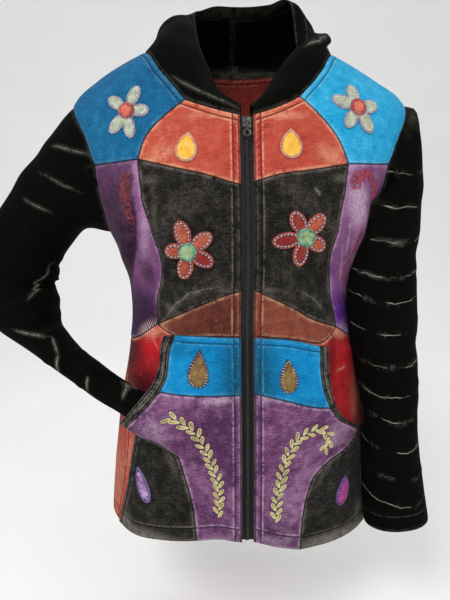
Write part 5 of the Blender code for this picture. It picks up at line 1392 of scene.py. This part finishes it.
def add_pockets(looks):
    """The panels and bindings of the pocket."""
    for side, tag in SIDES:
        s = side_seams(side, POCKET_SEAMS)
        top, seam, foot = (height_at(s[name], 0) for name in ("pocket_top", "band_bottom", "pocket_hem_in"))
        edge, inner = s["mouth_edge"], np.concatenate([s["mouth_high"][:-1], s["mouth_low"]])
        top_end = np.stack([s["pocket_top"][-1], edge[0]])
        foot_end = np.stack([edge[-1], s["mouth_low"][-1]])
        band_zip, body_zip = zip_edge(side, top, seam), zip_edge(side, seam, foot)
        pieces = (
            ("pocket_band", "blue_band", "blue_jersey",
             (s["pocket_top"], s["mouth_high"], rev(s["band_bottom"]), rev(band_zip)),
             ((s["pocket_top"], EDGE_ROW, ""), (band_zip, ZIP_ROW, "_zip"))),
            ("pocket", "purple", "purple_jersey",
             (s["band_bottom"], s["mouth_low"], s["corner_top"], rev(s["pocket_hem_in"]), rev(body_zip)),
             ((s["pocket_hem_in"], HEM_ROW, ""), (body_zip, ZIP_ROW, "_zip"))),
            ("pocket_corner", "charcoal", "charcoal_jersey",
             (s["corner_top"], s["pocket_hem_out"], rev(s["pocket_side"])),
             ((s["pocket_hem_out"], HEM_ROW, ""), (s["pocket_side"], 6, "_zip"))),
            ("pocket_binding", "binding", "charcoal_jersey", (top_end, edge, foot_end, rev(inner)),
             ((edge, BINDING_ROW, ""), (inner, BINDING_ROW, "_zip"))),
        )
        for name, look, slot_name, lines, stitched in pieces:
            cloth_patch(name + tag, lines, pocket_cloth, looks[look], stitched, POCKET_STEP)


def grid_walk(points):
    """Distance along each column of a grid, from its first row."""
    steps = np.linalg.norm(np.diff(points, axis=0), axis=-1)
    return np.concatenate([np.zeros((1, points.shape[1])), np.cumsum(steps, axis=0)])


def ridges(points, outward, start, width):
    """How strongly each point of a grid stands out from the points around it, 0 to 1."""
    blurred = points
    for _ in range(4):
        blurred = blurred + 0.25 * (np.roll(blurred, 1, axis=1) + np.roll(blurred, -1, axis=1) - 2 * blurred)
        inner = blurred[1:-1] + 0.25 * (blurred[2:] + blurred[:-2] - 2 * blurred[1:-1])
        blurred = np.concatenate([blurred[:1], inner, blurred[-1:]])
    stands = np.sum((points - blurred) * outward, axis=-1)
    return np.clip((stands - start) / width, 0, 1)


def add_grid(name, inside, outward, closed, material, values):
    """A cloth wall over a grid of points of its inner face."""
    rows, columns = inside.shape[:2]
    total = rows * columns
    rim = GRID_RIM[0] * bell(values["edge"], GRID_RIM[1])
    outside = inside + outward * (CLOTH + ripples(inside, values["edge"], GRID_RIPPLE, 5) - rim)[..., None]
    steps = range(columns if closed else columns - 1)
    border = [(row * columns + j, row * columns + (j + 1) % columns) for j in steps for row in (0, rows - 1)]
    if not closed:
        ends = (0, columns - 1)
        border += [(i * columns + j, (i + 1) * columns + j) for i in range(rows - 1) for j in ends]
    solid = shell_faces(grid_faces(rows, columns, closed), total, border)
    points = np.concatenate([outside.reshape(-1, 3), inside.reshape(-1, 3)])
    flat = {key: twice(given.reshape((total,) + given.shape[2:])) for key, given in values.items()}
    add_mesh(name + "_cloth", points, solid, material, flat, [name])


def add_sleeves(looks, sides):
    for side, tag in SIDES:
        s, arm_back, _ = sides[side]
        points, normals = lie(body_cloth, outline_of(s["arm_high"], s["arm_low"], rev(arm_back)))
        across = sideways(points, normals, True)
        if np.sum(across * (points.mean(axis=0) - points)) < 0:
            across = -across
        points = points + across * SEAM_GAP / 2
        rings = sleeve_surface(side, points, normals, across)
        outward = grid_normals(rings, True)
        middle = rings.mean(axis=1, keepdims=True)
        if np.sum(outward * (rings - middle)) < 0:
            outward = -outward
        outward[0] = normals
        walk = grid_walk(rings)
        phase = np.full(walk.shape, 0.5)
        if side == LEFT:
            # The dye rings hang lower at the front than at the back.
            heights = np.array(DYE_RINGS, float)[::-1] * MM
            height = rings[..., 2] - DYE_SLOPE * (rings[..., 1] + DYE_FRONT)
            phase = np.interp(height, heights, -np.arange(len(heights))[::-1].astype(float))
            phase += np.clip((height - heights[-1]) / DYE_PITCH, 0, 0.5)
            phase -= np.clip((heights[0] - height) / DYE_PITCH, 0, 0.5)
        streak, share = streak_values(rings, outward, STREAKS[side])
        turn = np.linspace(0, 1, rings.shape[1])[None] * np.ones_like(walk)
        values = {
            "edge": np.minimum(walk, walk[-1:] - walk), "stitch": walk[-1:] - walk - HEM_ROW * MM,
            "run": turn * SLEEVE_GIRTH, "phase": phase, "streak": streak, "streak_share": share,
            "stitch_zip": np.full_like(walk, FAR), "ridge": ridges(rings, outward, 0.7 * MM, 1.6 * MM),
            "cloth": np.stack([turn * SLEEVE_KNIT, walk, np.zeros_like(walk)], axis=-1),
        }
        add_grid("sleeve" + tag, rings, outward, True, looks["black"], values)


def add_hoods(looks, sides):
    for side, tag in SIDES:
        s, _, neck_back = sides[side]
        neckline = np.concatenate([s["neck_low"][:-1], s["neck_high"][:-1], neck_back])
        grid, seam_normals = hood_grid(side, neckline)
        grid[-1, :, 0] = side * HOOD_GAP * MM
        outward = grid_normals(grid, False)
        if np.sum(outward[:, 0] * seam_normals) < 0:
            outward = -outward
        outward[-1, :, 0] = 0
        outward = unit(outward)
        outward[:, 0] = seam_normals
        outward[-1, 0] = unit(seam_normals[-1] * (0, 1, 1))
        streak, share = streak_values(grid, outward, HOOD_WORN_AND_HIGHLIGHT_LINES[side])
        # The cloth above each pale line stands on its fold, and the cloth below it is tucked in.
        stands, tucked = (bell(streak - at, HOOD_FOLD) for at in HOOD_FOLDS_AT)
        grid = grid + outward * (share * (HOOD_STAND * stands - HOOD_TUCK * tucked))[..., None]
        across = np.moveaxis(grid_walk(np.moveaxis(grid, 1, 0)), 1, 0)
        along = grid_walk(grid)
        free = across[:, -1:] - across
        edge = np.minimum(np.minimum(across, free), along[-1:] - along)
        values = {
            "edge": edge, "stitch": free - HOOD_HEM, "run": along, "stain": 0.3 * bell(free, 3 * MM),
            "ridge": 0.7 * ridges(grid, outward, 1.8 * MM, 1.2 * MM), "stitch_zip": np.full_like(edge, FAR),
            "phase": np.full_like(edge, 0.5), "streak": streak, "streak_share": share,
            "cloth": np.stack([along, across, np.zeros_like(along)], axis=-1),
        }
        add_grid("hood" + tag, grid, outward, False, looks["hood"], values)


def on_cloth(flat, surface, lift):
    """Points and normals of a surface under points seen from the front, raised by a lift."""
    shape = flat.shape[:-1] + (3,)
    points, normals = lie(surface, spot(flat[..., 0].ravel(), flat[..., 1].ravel()))
    return (points + normals * lift).reshape(shape), normals.reshape(shape)


def strand_mesh(paths, normals, radii, sides=6):
    """Closed strands along paths, as points and faces. paths: (count, points, 3), with radii for them."""
    count, length = paths.shape[:2]
    tangent = unit(np.gradient(paths, axis=1))
    beside = unit(np.cross(tangent, normals))
    over = np.cross(beside, tangent)
    turn = np.linspace(0, 2 * math.pi, sides, endpoint=False)
    ring = np.cos(turn)[:, None] * beside[:, :, None] + np.sin(turn)[:, None] * over[:, :, None]
    points = paths[:, :, None] + ring * np.broadcast_to(radii, (count, length))[:, :, None, None]
    faces = []
    for n in range(count):
        start = n * length * sides
        for i in range(length - 1):
            a, b = start + i * sides, start + (i + 1) * sides
            faces += [(a + j, a + (j + 1) % sides, b + (j + 1) % sides, b + j) for j in range(sides)]
        faces.append(tuple(range(start + sides - 1, start - 1, -1)))
        last = start + (length - 1) * sides
        faces.append(tuple(range(last, last + sides)))
    return points.reshape(-1, 3), faces


def add_strands(name, groups, material, sides=6):
    """One piece from several groups of strands."""
    points, faces = np.zeros((0, 3)), []
    for paths, normals, radii in groups:
        more, more_faces = strand_mesh(paths, normals, radii, sides)
        faces += [tuple(i + len(points) for i in face) for face in more_faces]
        points = np.concatenate([points, more])
    return add_mesh(name, points, faces, material, {}, [])


def one_strand(points, normals, radius):
    return points[None], normals[None], np.full((1, len(points)), radius)


def resampled(line, step):
    """The same line with evenly spaced points, and its length."""
    walked = lengths_along(line)
    count = max(2, round(walked[-1] / step) + 1)
    return on_line(np.linspace(0, walked[-1], count), walked, line), walked[-1]


def offset_outline(outline, inset):
    """A closed flat outline moved inward, without the points that come near it elsewhere, in its notches."""
    along = unit(np.roll(outline, -1, axis=0) - np.roll(outline, 1, axis=0))
    inward = np.stack([-along[:, 1], along[:, 0]], axis=-1)
    moved = outline + (-inward if turns_right(outline) else inward) * inset
    moved = moved[clear_inside(moved, outline) > inset * 0.9]
    return np.concatenate([moved, moved[:1]])


def dashes(line, surface, lift, stitch, gap, radius):
    """Running stitches along a flat line."""
    even, length = resampled(line, 0.25 * MM)
    count = max(1, int(length / (stitch + gap)))
    at = (np.arange(count) * length / count)[:, None] + np.linspace(0, 1, 5) * stitch
    points, normals = on_cloth(on_line(at, np.linspace(0, length, len(even)), even), surface, lift)
    points += normals * (np.array([-0.35, 0.15, 0.3, 0.15, -0.35]) * radius)[None, :, None]
    return points, normals, np.array([0.55, 1, 1.05, 1, 0.55])[None] * radius


def blanket(outline, here, surface, low, high, inset, pitch, radius):
    """Short stitches from the top of a felt over its edge to the cloth, all round it."""
    even, length = resampled(offset_outline(outline, inset), 0.25 * MM)
    count = int(length / pitch)
    starts = even[(np.arange(count) * len(even) / count).astype(int)]
    gap = np.linalg.norm(starts[:, None] - outline[None], axis=-1)
    ends = outline[gap.argmin(axis=1)]
    beyond = ends + unit(ends - starts) * 0.5 * MM
    share = np.array([0.0, 0.25, 0.6, 0.85, 1.0])
    rise = np.array([high - radius, high + 0.3 * radius, high, (low + high) * 0.5, low])
    flat = here + starts[:, None] + (beyond - starts)[:, None] * share[None, :, None]
    points, normals = on_cloth(flat, surface, 0.0)
    return points + normals * rise[None, :, None], normals, np.array([0.6, 1, 1, 0.9, 0.6])[None] * radius


DEEP_FROM, DEEP_SPREAD = 12 * MM, 30  # where a petal is full of its darker dye, and its spread in degrees


def add_felt(name, here, outline, surface, low, thick, look, deep=()):
    """Thick felt with a soft edge, lying on a surface."""
    points, faces, at, _, edge = fine_patch(
        spot(*(here + outline).T), surface, low, thick, FELT_STEP, 0.0, FELT_RIM, FELT_ROWS)
    dx, dz = (points[:len(at), [0, 2]] - here).T
    shade, outer = np.zeros(len(at)), np.clip(np.hypot(dx, dz) / DEEP_FROM, 0, 1)
    for toward, strength in deep:
        off = (np.degrees(np.arctan2(dz, dx)) - toward + 180) % 360 - 180
        shade = np.maximum(shade, strength * np.exp(-((off / DEEP_SPREAD) ** 4)) * outer)
    add_mesh(name + "_felt", points, faces, look, {"edge": twice(edge), "deep": twice(shade)},
             [name])


def sew(name, kind, outline, here, surface, thread):
    """The stitches of one kind that hold a felt."""
    wraps, rows = STITCHES[kind]
    groups = []
    if wraps:
        groups.append(blanket(outline, here, surface, *(v * MM for v in wraps)))
    inset, *sizes = rows
    line = offset_outline(outline, inset * MM) + here
    groups.append(dashes(line, surface, *(v * MM for v in sizes)))
    add_strands(name, groups, thread)


def add_appliques(looks):
    """Felt flowers and teardrops with their stitches."""
    low = CLOTH + FELT_LIFT
    for i, (across, height, heart, petal_width, petals, deep) in enumerate(FLOWERS, 1):
        here = np.array((across, height)) * MM
        coarse, fine = (flower_outline(heart, petals, petal_width, step) * MM for step in (4, 1.5))
        middle, ring = (round_outline(heart * MM, count) for count in (48, 90))
        outer, inner, stitches, thread, ring_thread = (
            ("pale", "heart", "flower_pale", "rose_white", "pink") if i < 3 else
            ("coral", "mint", "flower", "pale_blue", "mint"))
        add_felt(f"flower_{i}", here, coarse, body_cloth, low, FLOWER_FELT, looks["felt_" + outer],
                 deep)
        add_felt(f"flower_heart_{i}", here, middle, body_cloth, low + FLOWER_FELT + HEART_LIFT, HEART_FELT,
                 looks["felt_" + inner])
        sew(f"flower_stitches_{i}", stitches, fine, here, body_cloth, looks["thread_" + thread])
        if i > 2:
            sew(f"flower_rim_{i}", "rim", fine, here, body_cloth, looks["thread_coral"])
            sew(f"flower_line_{i}", "line", fine, here, body_cloth, looks["thread_dark"])
        sew(f"heart_stitches_{i}", "heart", ring, here, body_cloth, looks["thread_" + ring_thread])
    for i, (across, height, width, length, tilt, narrowing, dye) in enumerate(TEARDROPS, 1):
        surface = body_cloth if i < 3 else pocket_cloth
        here = np.array((across, height)) * MM
        coarse, fine = (teardrop_outline(width, length, tilt, narrowing, count) * MM for count in (56, 200))
        add_felt(f"teardrop_{i}", here, coarse, surface, low, DROP_FELT, looks["felt_" + dye])
        thread = looks["thread_lilac" if i < 5 else "thread_plum"]
        sew(f"teardrop_stitches_{i}", "teardrop", fine, here, surface, thread)


LEAF_WIDTH, LEAF_LENGTH, LEAF_LEAN = 1.9 * MM, 10.4 * MM, 34
LEAF_FIRST, LEAF_LAST, LEAF_PITCH = 1.0 * MM, 3 * MM, 5.0 * MM


def add_vines(looks):
    """Stems with pairs of looped leaves, in cream and navy threads."""
    chance = np.random.default_rng(11)
    t = np.linspace(0, 1, 15)
    loop_x = LEAF_WIDTH * np.sin(2 * math.pi * t) * np.sin(math.pi * t) ** 0.35
    loop_y = LEAF_LENGTH * 0.5 * (1 - np.cos(2 * math.pi * t))
    for side, tag in SIDES:
        stem = np.array(VINES[side], float) * MM
        knots = lengths_along(stem)
        fine = smooth(knots, stem, np.linspace(0, knots[-1], 400))
        line, length = resampled(fine, 2 * MM)
        core = one_strand(*on_cloth(line, pocket_cloth, CLOTH + 0.35 * MM), 0.55 * MM)
        add_strands("vine_stem" + tag, [core], looks["thread_navy"])
        walked = lengths_along(fine)
        groups = []
        for k, at in enumerate(np.arange(LEAF_FIRST, length - LEAF_LAST, LEAF_PITCH)):
            place = on_line(at, walked, fine)
            ahead = on_line(min(at + 3 * MM, length), walked, fine) - place
            lean = (1 if k % 2 else -1) * math.radians(LEAF_LEAN + chance.uniform(-7, 7))
            lean += math.atan2(ahead[1], ahead[0])
            grown = chance.uniform(0.86, 1.05)
            along = np.array([math.cos(lean), math.sin(lean)])
            beside = np.array([-along[1], along[0]])
            start = place + along * 0.8 * MM
            leaf = start + (loop_y * grown)[:, None] * along + (loop_x * grown)[:, None] * beside
            vein = start + np.linspace(1.6 * MM, 7.6 * MM, 6)[:, None] * grown * along
            for flat, lift, radius in ((leaf, 0.75, 0.72), (vein, 0.45, 0.5)):
                groups.append(one_strand(*on_cloth(flat, pocket_cloth, CLOTH + lift * MM), radius * MM))
        add_strands("vine_leaves" + tag, groups, looks["thread_cream"])


def looped(line, lift, radius, pitch, seed):
    """One strand that runs along a flat line in small uneven loops."""
    chance = np.random.default_rng(seed)
    line = np.array(line, float) * MM
    knots = lengths_along(line)
    length = knots[-1]
    at = np.linspace(0, length, int(length / pitch * 14))
    turn = at / pitch * math.tau + 1.1 * np.interp(at, np.linspace(0, length, 30), chance.uniform(-1, 1, 30))
    reach = radius * np.interp(at, np.linspace(0, length, 40), chance.uniform(0.5, 1.3, 40))
    reach = reach * (1.15 - 0.65 * at / length)
    flat = smooth(knots, line, at) + np.stack([np.cos(turn), np.sin(turn)], axis=-1) * reach[:, None]
    points, normals = on_cloth(flat, body_cloth, lift)
    return points + normals * (0.3 * MM * np.sin(turn * 0.5 + seed))[:, None], normals


def add_squiggles(looks):
    """Tangled loops of red thread on the side strips, and a chain of it beside a seam."""
    def sew_loops(name, rows, radius, thread):
        """rows: line, lift, reach and pitch of the loops in millimetres, and seed."""
        groups = [one_strand(*looped(line, CLOTH + lift * MM, reach * MM, pitch * MM, seed), radius * MM)
                  for line, lift, reach, pitch, seed in rows]
        add_strands(name, groups, looks["thread_" + thread], 5)

    for side, tag in SIDES:
        rows = [(line, 0.4 + 0.3 * seed, 5.4 if side == RIGHT else 4.6, 4.8 + 0.7 * seed, 10 * n + seed)
                for n, line in enumerate(TANGLES[side]) for seed in range(3)]
        sew_loops("red_loops" + tag, rows, 0.32, "red" if side == RIGHT else "rose")
    sew_loops("blue_loops_left", [(TANGLES[LEFT][0], 0.4, 2.2, 5.5, 77)], 0.33, "blue")
    chain = [(SEAM_CHAIN, 0.4, 1.5, 3.0, 40 + seed) for seed in range(2)]
    sew_loops("red_chain_left", chain, 0.42, "red")


def block_mesh(places, axes, sizes, shrink=0.72):
    """Small blocks with a smaller outer face: places (n, 3), axes (n, 3, 3) as rows, sizes (3,)."""
    across, out, up = axes[:, 0], axes[:, 1], axes[:, 2]
    rows = []
    for depth, share in ((-0.5, 1.0), (0.25, 1.0), (0.5, shrink)):
        for u, v in ((-1, -1), (1, -1), (1, 1), (-1, 1)):
            rows.append(places + across * sizes[0] * 0.5 * u * share + up * sizes[2] * 0.5 * v * share
                        + out * sizes[1] * depth)
    points = np.stack(rows, axis=1)
    shape = [(3, 2, 1, 0), (8, 9, 10, 11)]
    shape += [(a + i, a + (i + 1) % 4, a + 4 + (i + 1) % 4, a + 4 + i) for a in (0, 4) for i in range(4)]
    faces = [tuple(n * 12 + i for i in face) for n in range(len(places)) for face in shape]
    return points.reshape(-1, 3), faces


def add_zip():
    """The tapes, the closed rows of teeth, and the metal of the slider and the pull."""
    tape = tape_look("zip_tape_weave")
    for side, tag in SIDES:
        outer, inner = (zip_edge(side, ZIP_TOP, ZIP_BOTTOM, across) for across in (TAPE_OUTER, TAPE_INNER))
        points, faces, _, _, edge = fine_patch(
            np.concatenate([outer, rev(inner)]), body_cloth, TAPE_LOW, TAPE_THICK, TAPE_STEP, 0.0, TAPE_RIM,
            TAPE_ROWS)
        add_mesh(f"zip_tape{tag}_cloth", points, faces, tape, {"edge": twice(edge)},
                 ["zip_tape" + tag])
    heights = np.arange(ZIP_BOTTOM + TOOTH_PITCH, CHAIN_TOP - 1 * MM, TOOTH_PITCH)
    place, out = lie(body_ring, np.stack([np.zeros(len(heights)), level_of(heights)], axis=-1))
    up = unit(np.cross((1.0, 0.0, 0.0), -out))
    up = np.where(up[:, 2:] < 0, -up, up)
    across = np.broadcast_to((1.0, 0.0, 0.0), place.shape)
    shift = np.where(np.arange(len(heights)) % 2, TOOTH_SHIFT, -TOOTH_SHIFT) * MM
    place = place + across * shift[:, None] + out * TOOTH_OUT
    points, faces = block_mesh(place, np.stack([across, out, up], axis=1), TOOTH)
    add_mesh("zip_teeth", points, faces, plastic_look("zip_teeth_plastic"), {}, ["zip_chain"],
             sharp=30)
    metal = metal_look("gunmetal_rubbed")
    for name in ("zip_slider", "zip_pull"):
        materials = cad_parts[name].data.materials
        materials.clear()
        materials.append(metal)


# The studio: height of the floor, its reach to the front and sides, where and how it bends up, and the top.
FLOOR, FLOOR_FRONT, FLOOR_SIDE, BEND_AT, BEND, WALL_TOP = -0.78, -3.0, 5.0, 1.6, 1.2, 5.0
PAINT, PAINT_SHADE = (246, 246, 245), (240, 240, 239)
LIGHTS = (
    ("key", (-0.9, -1.6, 1.2), 0.9, 30),
    ("fill", (1.4, -1.7, 0.3), 1.4, 9),
    ("rim", (0.3, 1.5, 1.5), 1.2, 12),
)
LIT_AT = Vector((0, 0, -0.28))
SKY, SKY_STRENGTH = (0.98, 0.99, 1.0, 1), 0.62
# Camera: its direction round the hoodie, distance and height; how far it looks down and is rolled; and
# its focal length, the picture's height and the sideways shift of the view, in pixels.
VIEW_TURN, VIEW_DISTANCE, VIEW_HEIGHT = math.radians(-4.5), 0.70, -0.216
VIEW_PITCH, VIEW_ROLL = math.radians(8.2), math.radians(-0.5)
FOCAL, PICTURE, VIEW_SHIFT = 520, 600, 15
SENSOR = 24


def paint_look(name):
    g = Looks(name, 0.9)
    return g.finish(g.mix(g.spread(g.noise(3, 2, 0.5), 0.3, 0.7, 0.0, 0.35), linear(PAINT),
                          linear(PAINT_SHADE)))


def add_studio():
    """Pale floor that curves up behind, soft lights and the camera."""
    turns = np.linspace(0, math.pi / 2, 14)
    bend = [(BEND_AT + BEND * math.sin(a), BEND - BEND * math.cos(a)) for a in turns]
    line = [(FLOOR_FRONT, 0.0)] + bend + [(BEND_AT + BEND, WALL_TOP)]
    points = [(x, y, FLOOR + z) for y, z in line for x in (-FLOOR_SIDE, FLOOR_SIDE)]
    mesh = bpy.data.meshes.new("studio")
    mesh.from_pydata(points, [], [(2 * i, 2 * i + 1, 2 * i + 3, 2 * i + 2) for i in range(len(line) - 1)])
    mesh.shade_smooth()
    mesh.materials.append(paint_look("studio_paint"))
    put("studio", mesh)
    bpy.context.scene.view_settings.view_transform = "Standard"
    world = bpy.data.worlds.new("daylight")
    bpy.context.scene.world = world
    world.use_nodes = True
    back = world.node_tree.nodes["Background"]
    back.inputs["Color"].default_value, back.inputs["Strength"].default_value = SKY, SKY_STRENGTH
    for name, place, size, power in LIGHTS:
        light = bpy.data.lights.new(name, "AREA")
        light.shape = "DISK"
        light.size = size
        light.energy = power
        lamp = put(name, light)
        lamp.location = place
        lamp.rotation_euler = (LIT_AT - Vector(place)).to_track_quat("-Z", "Y").to_euler()
    heading = VIEW_TURN + math.atan(VIEW_SHIFT / FOCAL)
    ahead = Vector((-math.sin(heading) * math.cos(VIEW_PITCH), math.cos(heading) * math.cos(VIEW_PITCH),
                    -math.sin(VIEW_PITCH)))
    level_right = ahead.cross(Vector((0, 0, 1))).normalized()
    level_up = level_right.cross(ahead)
    right = level_right * math.cos(VIEW_ROLL) + level_up * math.sin(VIEW_ROLL)
    up = level_up * math.cos(VIEW_ROLL) - level_right * math.sin(VIEW_ROLL)
    lens = bpy.data.cameras.new("camera")
    lens.sensor_fit = "VERTICAL"
    lens.sensor_height = SENSOR
    lens.lens = SENSOR * FOCAL / PICTURE
    lens.clip_start = 0.05
    camera = put("camera", lens)
    place = (VIEW_DISTANCE * math.sin(VIEW_TURN), -VIEW_DISTANCE * math.cos(VIEW_TURN), VIEW_HEIGHT)
    rows = [[right[i], up[i], -ahead[i], place[i]] for i in range(3)] + [[0, 0, 0, 1]]
    camera.matrix_world = Matrix(rows)
    bpy.context.scene.camera = camera


def main():
    looks = make_looks()
    sides = add_body(looks)
    add_pockets(looks)
    add_sleeves(looks, sides)
    add_hoods(looks, sides)
    add_zip()
    add_appliques(looks)
    add_vines(looks)
    add_squiggles(looks)
    declare_sheets()
    add_studio()


main()
